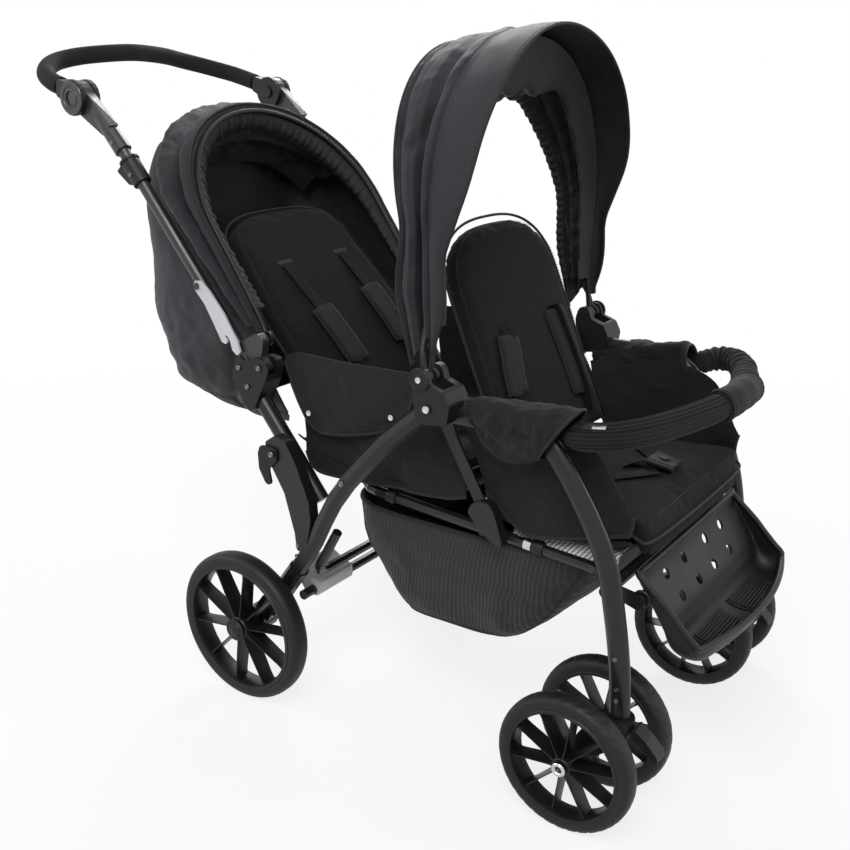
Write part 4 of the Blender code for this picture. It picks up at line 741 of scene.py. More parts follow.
def make_wheels():
    """All wheels, the ends of the front axles and the rear hub caps."""
    front, rear = front_wheel(), rear_wheel()
    for side, s in SIDES:
        for place, offset in (("outer", WHEEL_OFFSET), ("inner", -WHEEL_OFFSET)):
            x = s * (LEG_X + offset)
            wheel_copy(f"front_{place}_wheel_look_{side}", front, at(x, *FRONT_AXLE),
                       f"front_{place}_wheel_{side}",
                       f"front_wheel_{place}_{side}")
            end = x + s * (1 if offset > 0 else -1) * 0.0213
            out = (s if offset > 0 else -s, 0, 0)
            cap = turned("cap",
                         [(0.0042, 0.0), (0.0102, 0.0), (0.0102, 0.0012), (0.0092, 0.0022), (0.0060, 0.0022),
                          (0.0048, 0.0008)], 28, STEEL)
            well = button("well", (0, 0, 0), (1, 0, 0), 0.0050, 0.0010, PLASTIC)
            bolt = button("bolt", (0.0006, 0, 0), (1, 0, 0), 0.0022, 0.0012, DARK_STEEL, steps=10)
            ends = merge(f"axle_end_{place}_{side}", [cap, well, bolt])
            faced(ends, at(end, *FRONT_AXLE), out)
            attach(ends, "caster_" + side)
        wheel_copy("rear_wheel_look_" + side, rear, at(s * REAR_WHEEL_X, *REAR_AXLE), "rear_wheel_" + side,
                   "rear_rim_" + side, "rear_tyre_" + side)
        cap = turned("hub_cap",
                     [(0.0, 0.0), (0.0182, 0.0), (0.0182, 0.0020), (0.0172, 0.0034), (0.0150, 0.0036),
                      (0.0142, 0.0026),
                                 (0.0128, 0.0026), (0.0118, 0.0040), (0.0060, 0.0052), (0.0, 0.0054)], 44,
                                 WHEEL_PLASTIC, closed=False)
        cap.name = "rear_hub_cap_" + side
        faced(cap, at(s * HUB_CAP_X, *REAR_AXLE), (s, 0, 0))
        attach(cap, "rear_legs")
    for pattern in (front, rear):
        bpy.data.objects.remove(pattern)


# Rivets, hub discs and clamps on the frame

def rivet(name, x, place, body, radius=0.0042, height=0.0018, material=STEEL, normal=None):
    """A rivet head on a piece's side."""
    made = button(name, at(x, *place), normal or (math.copysign(1, x), 0, 0), radius, height, material, 0.35)
    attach(made, body)
    return made


def leg_x(z):
    """Distance of a front leg's centre line from the middle, which widens with height."""
    return LEG_X + 0.0055 * (z - 0.16) / 0.3765


def front_rail_z(y):
    """Height of the front seat's side rails."""
    return 0.3440 + (y - 0.08) * 0.0605


def rear_rail_z(y):
    """Height of the rear seat's rails."""
    return 0.3560 + (y - 0.2625) * 0.0747


def make_hardware():
    """Rivets, hub and hinge discs, and the clips and bands on the seat rails."""
    for side, s in SIDES:
        for k, place in enumerate((BRACKET, (0.6900, 0.5440), (0.6735, 0.5160))):
            rivet(f"bracket_rivet_{k}_{side}", s * 0.2424, place, "rear_legs", 0.0044, 0.0014, DARK_STEEL)
        rivet("knuckle_rivet_" + side, s * 0.2640, KNUCKLE, "front_frame", 0.0056, 0.0022)
        rivet("arm_rivet_" + side, s * 0.2580, (0.478, 0.404), "rear_legs", 0.0050, 0.0018, DARK_STEEL)
        for k, place in enumerate(((0.5700, 0.2800), (0.5730, 0.2620))):
            rivet(f"lever_rivet_{k}_{side}", s * 0.2568, place, "rear_legs", 0.0034, 0.0013, DARK_STEEL)
        for k, (y, z) in enumerate(((0.0425, 0.2470), (0.0385, 0.2030), (0.0378, 0.1860))):
            rivet(f"leg_rivet_{k}_{side}", s * (leg_x(z) + 0.0108), (y, z), "front_frame", 0.0034, 0.0013,
                  DARK_STEEL)
        hub = turned("disc",
                     [(0.0, 0.0), (0.0160, 0.0), (0.0160, 0.0030), (0.0150, 0.0042), (0.0128, 0.0042),
                      (0.0120, 0.0030),
                              (0.0070, 0.0028), (0.0, 0.0028)], 40, PLASTIC, closed=False)
        faced(hub, at(s * 0.2621, *CANOPY), (s, 0, 0))
        centre = button("centre", at(s * 0.2650, *CANOPY), (s, 0, 0), 0.0046, 0.0022, STEEL, 0.3)
        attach(merge("canopy_hub_" + side, [hub, centre]), "front_frame")
        disc = turned("disc", [(0.0, 0.0), (0.0262, 0.0), (0.0268, 0.0012), (0.0255, 0.0026), (0.0190, 0.0026),
                               (0.0176, 0.0010), (0.0150, 0.0010), (0.0140, 0.0020), (0.0118, 0.0022)],
                      44, GREY_PAINT, closed=False)
        faced(disc, at(s * 0.2443, *HANDLE), (s, 0, 0))
        disc.name = "handle_hinge_disc_" + side
        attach(disc, "handle")
        for k, (y0, y1, height) in enumerate(((0.1780, 0.1960, front_rail_z), (0.4300, 0.4460, rear_rail_z))):
            path = at(s * RAIL_X, np.linspace(y0, y1, 5), np.linspace(height(y0), height(y1), 5))
            clip = tube(f"rail_clip_{k}_{side}", path, [0.0098, 0.0106, 0.0108, 0.0106, 0.0098], PLASTIC, 22)
            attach(clip, "front_frame" if k == 0 else "seat_rails")
        band = np.linspace(0.1965, 0.2080, 4)
        path = at(s * RAIL_X, band, front_rail_z(band))
        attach(tube("rail_band_" + side, path, 0.0090, STEEL, 24), "front_frame")
        foot = (BRACKET[0] - 0.024 * -math.sin(PUSH_ANGLE), BRACKET[1] - 0.024 * math.cos(PUSH_ANGLE))
        for name, reach, out, body in (("sleeve_rivet_", 0.4350, 0.0136, "push_frame"),
                                       ("slider_rivet_", 0.3740, 0.0148, "fold_slider_" + side)):
            y, z = along(foot, PUSH_ANGLE, reach)
            rivet(name + side, s * (PUSH_X + out), (float(y), float(z)), body, 0.0036, 0.0014, DARK_STEEL)
    rivet("latch_rivet", -0.2640, (0.610, 0.424), "rear_legs", 0.0050, 0.0016, DARK_STEEL)


# Round tubes

def smooth_tube(node, path, radius, body, material, sides=40, wide=1.0, high=1.0, up=(0, 0, 1)):
    """A fine round tube over the same line as a CAD tube, which it replaces."""
    made = tube(node + "_look", even(path, 0.006), radius, material, sides, wide, high, up)
    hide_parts(node)
    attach(made, body)


# Right half of the handle's grip, from its hinge to near its middle
GRIP_LINE = [
    (0.2265, 1.0680, 0.9552), (0.2260, 1.0870, 0.9605), (0.2170, 1.1160, 0.9700), (0.1980, 1.1420, 0.9790),
    (0.1720, 1.1640, 0.9880), (0.1400, 1.1770, 0.9960), (0.1000, 1.1740, 1.0030), (0.0500, 1.1650, 1.0075),
]


def make_tubes():
    """Finer tubes on the lines of the CAD tubes that they replace."""
    bar = [(-x, y, z) for x, y, z in GRIP_LINE] + [(0.0, 1.1590, 1.0095)] + GRIP_LINE[::-1]
    bar = curve(bar, 170)
    smooth_tube("handle_grip", at(bar[:, 0], bar[:, 1], bar[:, 2]), 0.0148, "handle", FOAM, 48)
    for side, s in SIDES:
        line = curve([(y, z, 0) for y, z in LEG_LINE], 120)
        x = leg_x(line[:, 1])
        smooth_tube("front_leg_" + side, at(s * x, line[:, 0], line[:, 1]), 0.0150, "front_frame", PAINT, 40,
                    0.74)
        y, z = along((0.5480, 0.3490), math.radians(51.4), np.linspace(0, 0.2030, 12))
        smooth_tube("lower_tube_" + side, at(s * 0.2215, y, z), 0.0133, "rear_legs", PAINT)


# Cushions

def crowned_pad(rows, columns, shape, name, material):
    """A closed pad with a top and a bottom skin, from shape(u, v, top)."""
    u = np.linspace(-1, 1, columns)
    v = np.linspace(-1, 1, rows)
    uu, vv = np.meshgrid(u, v)
    top = shape(uu, vv, True)
    low = shape(uu, vv, False)
    points = np.concatenate([top.reshape(-1, 3), low.reshape(-1, 3)])
    half = rows * columns
    faces = [list(f) for f in grid_faces(rows, columns)] + [list(f) for f in grid_faces(rows, columns, half,
                                                                                        flip=True)]
    edge = np.concatenate([
        np.arange(columns), np.arange(1, rows) * columns + columns - 1,
        (rows - 1) * columns + np.arange(columns - 2, -1, -1), np.arange(rows - 2, -1, -1) * columns,
    ])
    faces += [[edge[i + 1], edge[i], edge[i] + half, edge[i + 1] + half] for i in range(len(edge) - 1)]
    made = new_object(name, points, faces, material, 80)
    face_out(made)
    return made


def applied(thing):
    """Carries out an object's modifiers and keeps the result as its mesh."""
    bpy.context.view_layer.update()
    seen = thing.evaluated_get(bpy.context.evaluated_depsgraph_get())
    mesh = bpy.data.meshes.new_from_object(seen)
    thing.modifiers.clear()
    thing.data = mesh
    return thing


def puffed(thing, voxel, cap, pressure=4.0, last=20):
    """Remeshes a pad, inflates it as cloth, and caps how far any point has moved."""
    step = thing.modifiers.new("remesh", "REMESH")
    step.mode = "VOXEL"
    step.voxel_size = voxel
    applied(thing)
    rest = np.array([v.co for v in thing.data.vertices])
    cloth_step = thing.modifiers.new("cloth", "CLOTH")
    settings = cloth_step.settings
    settings.quality = 4
    settings.mass = 0.3
    settings.tension_stiffness = 12
    settings.compression_stiffness = 12
    settings.shear_stiffness = 6
    settings.bending_stiffness = 2.5
    settings.use_pressure = True
    settings.uniform_pressure_force = pressure
    settings.effector_weights.gravity = 0.0
    cloth_step.collision_settings.use_collision = False
    cloth_step.point_cache.frame_start = 1
    cloth_step.point_cache.frame_end = last
    for number in range(1, last + 1):
        bpy.context.scene.frame_set(number)
    seen = thing.evaluated_get(bpy.context.evaluated_depsgraph_get())
    moved = np.array([v.co for v in seen.data.vertices])
    thing.modifiers.clear()
    bpy.context.scene.frame_set(1)
    shift = moved - rest
    length = np.linalg.norm(shift, axis=1, keepdims=True)
    moved = rest + shift * np.minimum(1, cap / np.maximum(length, 1e-9))
    thing.data.vertices.foreach_set("co", moved.astype(np.float32).ravel())
    step = thing.modifiers.new("finer", "SUBSURF")
    step.levels = step.render_levels = 1
    applied(thing)
    thing.data.shade_smooth()
    return thing


def pad_rim(q, length, rounded, half, widest, taper, power):
    """Half-width and reach on the edge of a back pad; q from 0 at its foot to 1 at the top's middle."""
    flat = length - rounded
    share = flat / (length + half * 0.6)
    a = np.clip((q - share) / (1 - share), 0, 1) * PI / 2
    reach = np.where(q < share, flat * q / share, flat + rounded * np.sin(a) ** (2 / power))
    width = np.minimum(half - taper * reach, widest) * np.clip(np.cos(a), 0, 1) ** (2 / power)
    return width, reach


def seat_shape(y_front, y_back, z_front, z_back, half, thick, nose):
    """Shape of a seat cushion, with a rolled front edge."""
    def shape(u, v, top):
        corner = 1 - 0.055 * np.abs(u) ** 6 * np.abs(v) ** 6
        pull = 1 - 0.030 * (1 - np.abs(v) ** 3) * np.abs(u) ** 4
        length = (v * corner + 1) / 2
        y = y_front + (y_back - y_front) * length
        base = z_front + (z_back - z_front) * length
        x = u * half * pull * corner
        front = np.clip(1 - length / 0.16, 0, 1)
        if not top:
            return at(x * 0.985, y, base - nose * smooth(front))
        crown = 0.006 * (1 - u**4) * (1 - v**4)
        return at(x, y, base + thick + crown - 0.004 * front**2)
    return shape


def back_shape(foot, angle, thick, *rim):
    """Shape of a backrest cushion."""
    def shape(u, v, top):
        width, reach = pad_rim((v + 1) / 2, *rim)
        pull = 1 - 0.018 * (1 - v**4)
        depth = thick + 0.005 * (1 - u**4) * (1 - v**6) if top else 0.003 + 0 * u
        y, z = along(foot, angle, reach, depth)
        return at(u * width * pull, y, z)
    return shape


def outline(shape, top, count=60, inset=0.0):
    """The edge line of a pad's top, as a closed run of points."""
    s = np.linspace(-1, 1, count)
    e = 1 - inset
    runs = [shape(s * e, np.full(count, -e), top), shape(np.full(count, e), s * e, top)[1:],
            shape(-s * e, np.full(count, e), top)[1:], shape(np.full(count, -e), -s * e, top)[1:]]
    return np.concatenate(runs)


def closed_tube(name, path, radius, material, sides=8):
    """A tube along a closed line."""
    path = even(path, 0.006)[:-1]
    t = unit(np.roll(path, -1, 0) - np.roll(path, 1, 0))
    centre = path.mean(0)
    out = unit(path - centre)
    b = unit(np.cross(t, out))
    n = unit(np.cross(b, t))
    a = np.linspace(0, 2 * PI, sides, endpoint=False)
    p = path[:, None] + (np.cos(a)[None, :, None] * n[:, None] + np.sin(a)[None, :, None] * b[:, None]) * radius
    rows = len(path)
    p = np.concatenate([p, p[:1]])
    faces = [[int(v) % (rows * sides) for v in f] for f in grid_faces(rows + 1, sides, 0, True)]
    made = new_object(name, p[:-1], faces, material, 60)
    face_out(made)
    return made


def make_cushions():
    """The four cushions with their piping and stitches."""
    seats = (
        ("front_seat", seat_shape(0.0310, 0.2500, 0.3960, 0.3860, 0.1850, 0.0200, 0.038), "front_frame"),
        ("rear_seat", seat_shape(0.3390, 0.5670, 0.4070, 0.4130, 0.1740, 0.0190, 0.004), "seat_rails"),
    )
    backs = (
        ("front_backrest",
         back_shape(FRONT_BACK_FOOT, FRONT_BACK_ANGLE, 0.0190, 0.3600, 0.1080, 0.1520, 0.152, 0.0, 2.60),
         "front_backrest"),
        ("rear_backrest",
         back_shape(REAR_BACK_FOOT, REAR_BACK_ANGLE, 0.0330, 0.3820, 0.0700, 0.1900, 0.163, 0.145, 3.2),
         "rear_backrest"),
    )
    for name, shape, body in seats + backs:
        pad = crowned_pad(36, 36, shape, name + "_cushion", SEAT)
        puffed(pad, 0.0055, 0.006 if body.endswith("backrest") else 0.007)
        pad.data.materials.clear()
        pad.data.materials.append(SEAT)
        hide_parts(name + "_pad")
        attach(pad, body)
        edge, low = outline(shape, True, 90), outline(shape, False, 90)
        middle = edge * 0.62 + low * 0.38
        centre = middle.mean(0)
        piping = closed_tube(name + "_piping", middle + unit(middle - centre) * 0.0050, 0.0021, BINDING)
        inner = even(centre + (edge - centre) * (1 - 0.0095 / np.linalg.norm(edge - centre, axis=1,
                                                                             keepdims=True)), 0.004)
        normal = unit(np.cross(edge[20] - centre, edge[60] - centre))
        normal = normal * np.sign(normal[2])
        seam = stitches(name + "_stitches", inner + normal * 0.0052, normal, THREAD, 0.0050, 0.0032, 0.0004)
        for piece in (piping, seam):
            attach(piece, body)


# Harness

def back_frame(foot, angle):
    """Places on a backrest, and its normal."""
    def place(x, reach, offset):
        y, z = along(foot, angle, np.asarray(reach, float), np.asarray(offset, float))
        return at(x, y, z)
    normal = np.array([0, -math.sin(angle), math.cos(angle)])
    return place, normal


def make_harness(name, foot, angle, body, slot_reach, slot_x, pads, surface):
    """Two shoulder straps out of their slots, each through a long flat pad."""
    place, normal = back_frame(foot, angle)
    for side, s in SIDES:
        top, low, lean = pads[side]
        reach = np.array([slot_reach, slot_reach - 0.008, slot_reach - 0.024, *np.linspace(top, low, 5),
                          low - 0.030])
        lift = surface + np.array([-0.006, 0.0030, 0.0060, 0.0090, 0.0100, 0.0100, 0.0095, 0.0090, 0.0040])
        down = np.clip((slot_reach - reach) / (slot_reach - low), 0, 1.2)
        across = s * slot_x + lean * smooth(down)
        route = curve(place(across, reach, lift), 90)
        web = strap(f"{name}_strap_{side}", route, 0.0250, 0.0018, WEB, normal)
        first = int(np.argmin(np.abs(route[:, 2] - place(0, top, surface)[..., 2])))
        last = int(np.argmin(np.abs(route[:, 2] - place(0, low, surface)[..., 2])))
        stretch = even(route[first:last], 0.003)
        count = len(stretch)
        k = np.linspace(-1, 1, count)
        width = 0.0460 * (1 - np.abs(k) ** 26) ** 0.3 + 0.004
        thick = 0.0085 * (1 - 0.55 * np.abs(k) ** 8) + 0.0006 * np.sin(40 * k)
        t = np.linspace(0, 2 * PI, 44, endpoint=False)
        ring_shape = np.stack([signed_power(np.cos(t), 0.35), signed_power(np.sin(t), 0.62)], 1)
        section = ring_shape[None] * np.stack([width / 2, thick / 2], 1)[:, None]
        cover = sweep(f"{name}_shoulder_pad_{side}", stretch, section, SIDE, normal)
        across_pad, ups, _ = frames(stretch, normal)
        edges = [tube("edge", stretch[1:-1] + across_pad[1:-1] * w * (width[1:-1, None] / 2 + 0.0006), 0.0016,
                      BINDING, 8)
                 for w in (-1, 1)]
        piping = merge(f"{name}_pad_piping_{side}", edges)
        rows = [stitches("row", (stretch + across_pad * w + ups * (thick[:, None] / 2 + 0.0002))[3:-3], normal,
                         THREAD,
                         0.0046, 0.003, 0.00045) for w in (-0.0175, 0.0175)]
        sewing = merge(f"{name}_pad_stitches_{side}", rows)
        slit_at = place(s * slot_x, slot_reach + 0.001, surface + 0.0012)
        slit = strap(f"{name}_slot_{side}", np.linspace(slit_at - [0.0175, 0, 0], slit_at + [0.0175, 0, 0], 8),
                     0.0080,
                     0.0018, BINDING, normal)
        for piece in (web, cover, piping, sewing, slit):
            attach(piece, body)


def make_buckles():
    """Crotch strap, buckle and lap straps on each seat."""
    for name, y, z, body in (("front", 0.150, 0.4180, "front_frame"), ("rear", 0.450, 0.4420, "seat_rails")):
        path = curve(at([0, 0, 0.004, 0.010, 0.012], y + np.array([0.0, -0.010, -0.028, -0.050, -0.072]),
                        z + np.array([0.0, 0.010, 0.018, 0.020, 0.014])), 40)
        web = strap(name + "_crotch_strap", path, 0.0300, 0.0020, WEB, (0, 0, 1))
        place = path[-8]
        shell = sweep("shell", np.linspace(place + [-0.0, 0.016, 0.0035], place + [0.0, -0.022, -0.0035], 12),
                      strap_section(0.046, 0.0130, 6)[None] * np.linspace(1, 0.86, 12)[:, None, None], PLASTIC,
                      (0, 0, 1))
        key = button("key", place + [0.0, -0.002, 0.0064], (0, -0.1, 1), 0.0088, 0.0022, PLASTIC, 0.4)
        buckle = merge(name + "_buckle", [shell, key])
        pieces = [web, buckle]
        for side, s in SIDES:
            lap = curve(at(s * np.array([0.016, 0.045, 0.090, 0.135, 0.160]),
                           y + np.array([-0.060, -0.030, 0.015, 0.055, 0.085]),
                           z + np.array([0.014, 0.011, 0.008, 0.007, 0.006])), 50)
            pieces.append(strap(f"{name}_lap_strap_{side}", lap, 0.0240, 0.0018, WEB, (0, 0, 1)))
        for piece in pieces:
            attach(piece, body)


# Seat sides

def fill_outline(upper, lower, across, down, bulge):
    """A panel between an upper and a lower line, each a list of (x, y, z), with soft hollows."""
    a = curve(upper, across)
    b = curve(lower, across)
    t = np.linspace(0, 1, down)[:, None, None]
    p = a[None] * (1 - t) + b[None] * t
    p[..., 1] -= MIDDLE
    side = np.sign(p[..., 0].mean())
    u = np.linspace(0, 1, across)[None, :]
    v = np.linspace(0, 1, down)[:, None]
    p[..., 0] += side * bulge(u, v)
    return p


# Outlines of the cloth sides on the left, as an upper and a lower line of (x, y, z)
FRONT_PANEL = (
    [(0.1965, 0.0470, 0.4340), (0.1990, 0.0700, 0.4740), (0.2040, 0.0950, 0.5120), (0.2080, 0.1400, 0.5300),
     (0.2080, 0.2100, 0.5330), (0.2030, 0.2700, 0.5300), (0.1960, 0.3080, 0.5150)],
    [(0.1950, 0.0500, 0.4060), (0.1955, 0.0850, 0.3960), (0.1955, 0.1200, 0.3860), (0.1950, 0.1600, 0.3760),
     (0.1950, 0.2000, 0.3720), (0.1945, 0.2300, 0.3860), (0.1930, 0.2700, 0.4200)],
)
REAR_PANEL = (
    [(0.1940, 0.3300, 0.5560), (0.1985, 0.3720, 0.5710), (0.2000, 0.4400, 0.5700), (0.2000, 0.5200, 0.5690),
     (0.1990, 0.5970, 0.5700), (0.1950, 0.6180, 0.5620)],
    [(0.1930, 0.3000, 0.4040), (0.1950, 0.3300, 0.3960), (0.1955, 0.3900, 0.3900), (0.1955, 0.4300, 0.3890),
     (0.1955, 0.5000, 0.3850), (0.1950, 0.5740, 0.3850), (0.1940, 0.5950, 0.4150)],
)
REAR_FLAP = (
    [(0.2010, 0.3720, 0.5735), (0.2020, 0.4400, 0.5725), (0.2020, 0.5200, 0.5715), (0.2010, 0.5970, 0.5725),
     (0.2000, 0.6280, 0.5640)],
    [(0.2030, 0.3950, 0.5030), (0.2035, 0.4480, 0.4740), (0.2040, 0.5310, 0.4560), (0.2035, 0.5760, 0.4590),
     (0.2020, 0.6140, 0.5210)],
)


def on_side(s, outline):
    """An outline's two lines on the right (-1) or left (1) side."""
    return [[(s * x, y, z) for x, y, z in line] for line in outline]


def front_side(side, s, seed):
    """The front seat's side panel and its piping."""
    def folds(u, v):
        drag = 0.0030 * np.sin(9 * (u * 1.1 - v * 0.7)) * (1 - v) * smooth(u * 4)
        return -0.0045 * np.sin(PI * v) + drag * smooth((1 - u) * 4)

    p = fill_outline(*on_side(s, FRONT_PANEL), 90, 46, folds)
    p[..., 0] += s * rumple(p, 0.055, 0.0032, seed)
    panel = cloth("front_side_panel_" + side, p, [SIDE], 0.0026)
    hem = tube("hem", even(p[-1], 0.004), 0.0030, BINDING, 10)
    hem_front = tube("hem", even(p[:, 0], 0.004), 0.0026, BINDING, 10)
    trim = merge("front_side_piping_" + side, [hem, hem_front])
    for piece in (panel, trim):
        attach(piece, "front_frame")


def rear_side(side, s, seed):
    """The rear seat's side panel, and the loose flap that is sewn and snapped outside it."""
    p = fill_outline(*on_side(s, REAR_PANEL), 90, 50,
                     lambda u, v: -0.0040 * np.sin(PI * v) - 0.0030 * np.sin(7 * u + 4 * v) * v)
    p[..., 0] += s * rumple(p, 0.060, 0.0042, seed + 1)
    inner = cloth("rear_side_panel_" + side, p, [SIDE], 0.0026)
    hem = tube("rear_side_piping_" + side, even(p[-1], 0.004), 0.0030, BINDING, 10)

    def flap_folds(u, v):
        pull = 0.0028 * np.sin(14 * u - 5 * v) * v**2
        return 0.0010 + 0.0030 * np.sin(PI * v) + pull

    p = fill_outline(*on_side(s, REAR_FLAP), 90, 40, flap_folds)
    p[..., 0] += s * np.abs(rumple(p, 0.050, 0.0022, seed + 2))
    flap = cloth("rear_side_flap_" + side, p, [SIDE], 0.0022)
    edge = np.concatenate([p[6:, -1][:-1], p[-1][::-1], p[6:, 0][::-1][1:]])
    binding = tube("rear_flap_binding_" + side, even(edge, 0.004), 0.0025, BINDING, 10)
    out = np.array([s * 0.0016, 0, 0])
    seam = stitches("rear_flap_stitches_" + side, p[-4, 4:-4] + out, (s, 0, 0), THREAD)
    snaps = [button("snap", p[-9, j] + out, (s, 0, 0), 0.0048, 0.0022, STEEL, 0.3) for j in (66, 14)]
    snap = merge("rear_flap_snaps_" + side, snaps)
    for piece in (inner, hem, flap, binding, seam, snap):
        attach(piece, "seat_rails")


def make_seat_sides():
    """Cloth sides of both seats."""
    for side, s in SIDES:
        seed = 3 if s < 0 else 8
        front_side(side, s, seed)
        rear_side(side, s, seed)


def make_seat_floors():
    """The slung cloth under each cushion, between the side panels."""
    for name, stations, body in (
        ("front",
         [(0.0480, 0.3860), (0.0850, 0.3790), (0.1350, 0.3740), (0.1900, 0.3710), (0.2450, 0.3760),
          (0.2900, 0.3980)], "front_frame"),
        ("rear",
         [(0.3100, 0.4040), (0.3600, 0.3920), (0.4300, 0.3870), (0.5100, 0.3910), (0.5700, 0.4050),
          (0.6150, 0.4250)], "seat_rails"),
    ):
        line = curve([(y, z, 0) for y, z in stations], 40)
        u = np.linspace(-1, 1, 50)[None, :]
        x = u * 0.1945 + 0 * line[:, :1]
        z = line[:, 1:2] - 0.006 * (1 - u**2) + 0.012 * np.clip((np.abs(u) - 0.9) / 0.1, 0, 1) ** 2
        p = at(x, line[:, :1] + 0 * u, z)
        p[..., 2] += rumple(p, 0.05, 0.0016, 5)
        floor = cloth(name + "_seat_sling", p, [SEAT], 0.0024)
        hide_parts(name + "_seat_cloth")
        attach(floor, body)


def armrest_cover(name, s, stations, seed, sewn):
    """A loose cloth sleeve round the armrest tube, gathered behind and open in front."""
    count, around = 90, 72
    line = curve(stations, count)
    v = np.linspace(0, 1, count)[:, None]
    a = np.linspace(0, 2 * PI, around, endpoint=False)[None, :]
    up = signed_power(np.sin(a), 0.80) / 2 + 0.5
    y = line[:, 2:3] + (line[:, 0:1] - line[:, 2:3]) * up
    z = line[:, 3:4] + (line[:, 1:2] - line[:, 3:4]) * up
    p = at(s * (0.2275 + line[:, 4:5] * signed_power(np.cos(a), 0.85)), y, z)
    n = np.stack([s * np.cos(a) + 0 * v, 0 * a + 0 * v, 0.6 * np.sin(a) + 0 * v], -1)
    gather = 0.0016 * np.sin(26 * a) * smooth((0.16 - v) / 0.10)
    drag = 0.0034 * np.sin(4.5 * a + 7 * v + 0.5) * smooth(v * 4) * smooth((1 - v) * 5 + 0.2)
    p = p + n * (gather + drag + rumple(p, 0.032, 0.0058, seed) * smooth((1 - v) * 6 + 0.25))[..., None]
    cover = cloth(name, p, [SIDE], 0.0022, wrap=True)
    rims = [tube("rim", even(np.vstack([p[k], p[k][:1]]), 0.004), 0.0021, BINDING, 8) for k in (1, -2)]
    if sewn:
        rims += [stitches("row", p[k, 4:-20] + n[k, 4:-20] * 0.0016, (0, -0.4, 0.9), THREAD) for k in (-5, -9)]
    trim = merge(name + "_binding", rims)
    for piece in (cover, trim):
        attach(piece, "front_frame")


def make_armrests():
    """The sleeves on the front seat's two armrest tubes."""
    armrest_cover("armrest_cover_right", -1, COVER_RIGHT, 4, False)
    armrest_cover("armrest_cover_left", 1, COVER_LEFT, 9, True)


# Left half of the bumper, from its socket to near its middle
BUMPER_LINE = [
    (0.2120, 0.1240, 0.5365), (0.2290, 0.1080, 0.5410), (0.2310, 0.0880, 0.5440), (0.2160, 0.0650, 0.5450),
    (0.1800, 0.0440, 0.5455), (0.1250, 0.0220, 0.5470), (0.0600, -0.0020, 0.5530),
]


def make_bumper():
    """The bumper's cover, with a zip along its right part and a wrap round its middle."""
    right = [(-x, y, z) for x, y, z in BUMPER_LINE]
    left = [(x, y, z) for x, y, z in reversed(BUMPER_LINE)]
    line = curve(right + [(0, -0.0100, 0.5560)] + left, 241)
    path = even(line, 0.0025)
    path[:, 1] -= MIDDLE
    count = len(path)
    k = np.linspace(0, 1, count)
    near_end = smooth(k / 0.004)
    far_end = smooth((1 - k) / 0.015)
    a = np.linspace(0, 2 * PI, 96, endpoint=False)
    radius = 0.0182 * (0.90 + 0.10 * near_end) * (0.78 + 0.22 * far_end)
    section = np.stack([np.cos(a), np.sin(a)], 1)[None] * radius[:, None, None]
    zipped = smooth((0.415 - k) / 0.006)[:, None]
    ridges = 0.0011 * np.cos(22 * a)[None] * (np.sin(a)[None] > -0.75)
    creases = 0.0016 * np.sin(150 * k)[:,
                                       None] * np.sin(2 * a + 5 * np.sin(9 * k)[:,
                                                                                None]) + 0.0013 * np.sin(330 * k)[:, None]
    section = section * (1 + (ridges * zipped + creases * (1 - zipped)) / 0.0182)[..., None]
    cover = sweep("bumper_cover", path, section, SIDE, crease=70)
    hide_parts("bumper_bar")
    side, ups, t = frames(path)
    pieces = [cover]
    for m, angle in enumerate((0.55, 1.15)):
        aim = side * math.cos(angle) + ups * math.sin(angle)
        lane = (path + aim * 0.0188)[6:int(count * 0.41)]
        pieces.append(stitches(f"bumper_zip_{m}", lane, (0, 0, 1), PLASTIC, 0.0028, 0.0016, 0.0014))
    aim = side[16] * math.cos(0.85) + ups[16] * math.sin(0.85)
    spot = path[16] + aim * 0.0196
    slider = strap("slider", np.linspace(spot - t[16] * 0.005, spot + t[16] * 0.006, 6), 0.0085, 0.0040,
                   PLASTIC, tuple(aim))
    pull = strap("pull", np.linspace(spot + t[16] * 0.006, spot + t[16] * 0.024, 8), 0.0056, 0.0020, STEEL,
                 tuple(aim))
    pieces.append(merge("bumper_zip_pull", [slider, pull]))
    low, high = int(count * 0.415), int(count * 0.60)
    wrap = path[low:high]
    w = np.linspace(-1, 1, len(wrap))
    big = 0.0226 + 0.0010 * np.abs(w) ** 6 + 0.0005 * np.sin(9 * w)
    body = ring(1.0, 64)[None] * big[:, None, None]
    body[:, :, 1] *= 1 + 0.06 * np.sin(2 * np.linspace(0, 2 * PI, 64))[None]
    pieces.append(sweep("bumper_wrap", wrap, body, SIDE))
    for m, index in enumerate((2, len(wrap) - 3)):
        loop = wrap[index][None] + (side[low + index] * body[index][:, :1] + ups[low + index] * body[index][:,
                                                                                                            1:]) * 1.01
        pieces.append(closed_tube(f"bumper_wrap_hem_{m}", np.vstack([loop, loop[:1]]), 0.0014, BINDING, 6))
    for piece in pieces:
        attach(piece, "bumper_bar")


# Canopies

def raised_arch(pivot, angle, half, height, t, start=0.0, rise=0.240):
    """An arch with straight sides and a round top; t runs from 0 (right) to pi (left)."""
    half, height, start, t = np.broadcast_arrays(half, height, start, t)
    straight = height - rise - start
    bend = PI * np.sqrt((half**2 + rise**2) / 2)
    run = t / PI * (2 * straight + bend)
    turn = np.clip((run - straight) / bend, 0, 1) * PI
    down = np.maximum(0, straight - run) + np.maximum(0, run - straight - bend)
    reach = height - rise + rise * np.sin(turn) - down
    y, z = along(pivot, angle, reach)
    return at(-half * np.cos(turn), y, z), np.sin(turn)


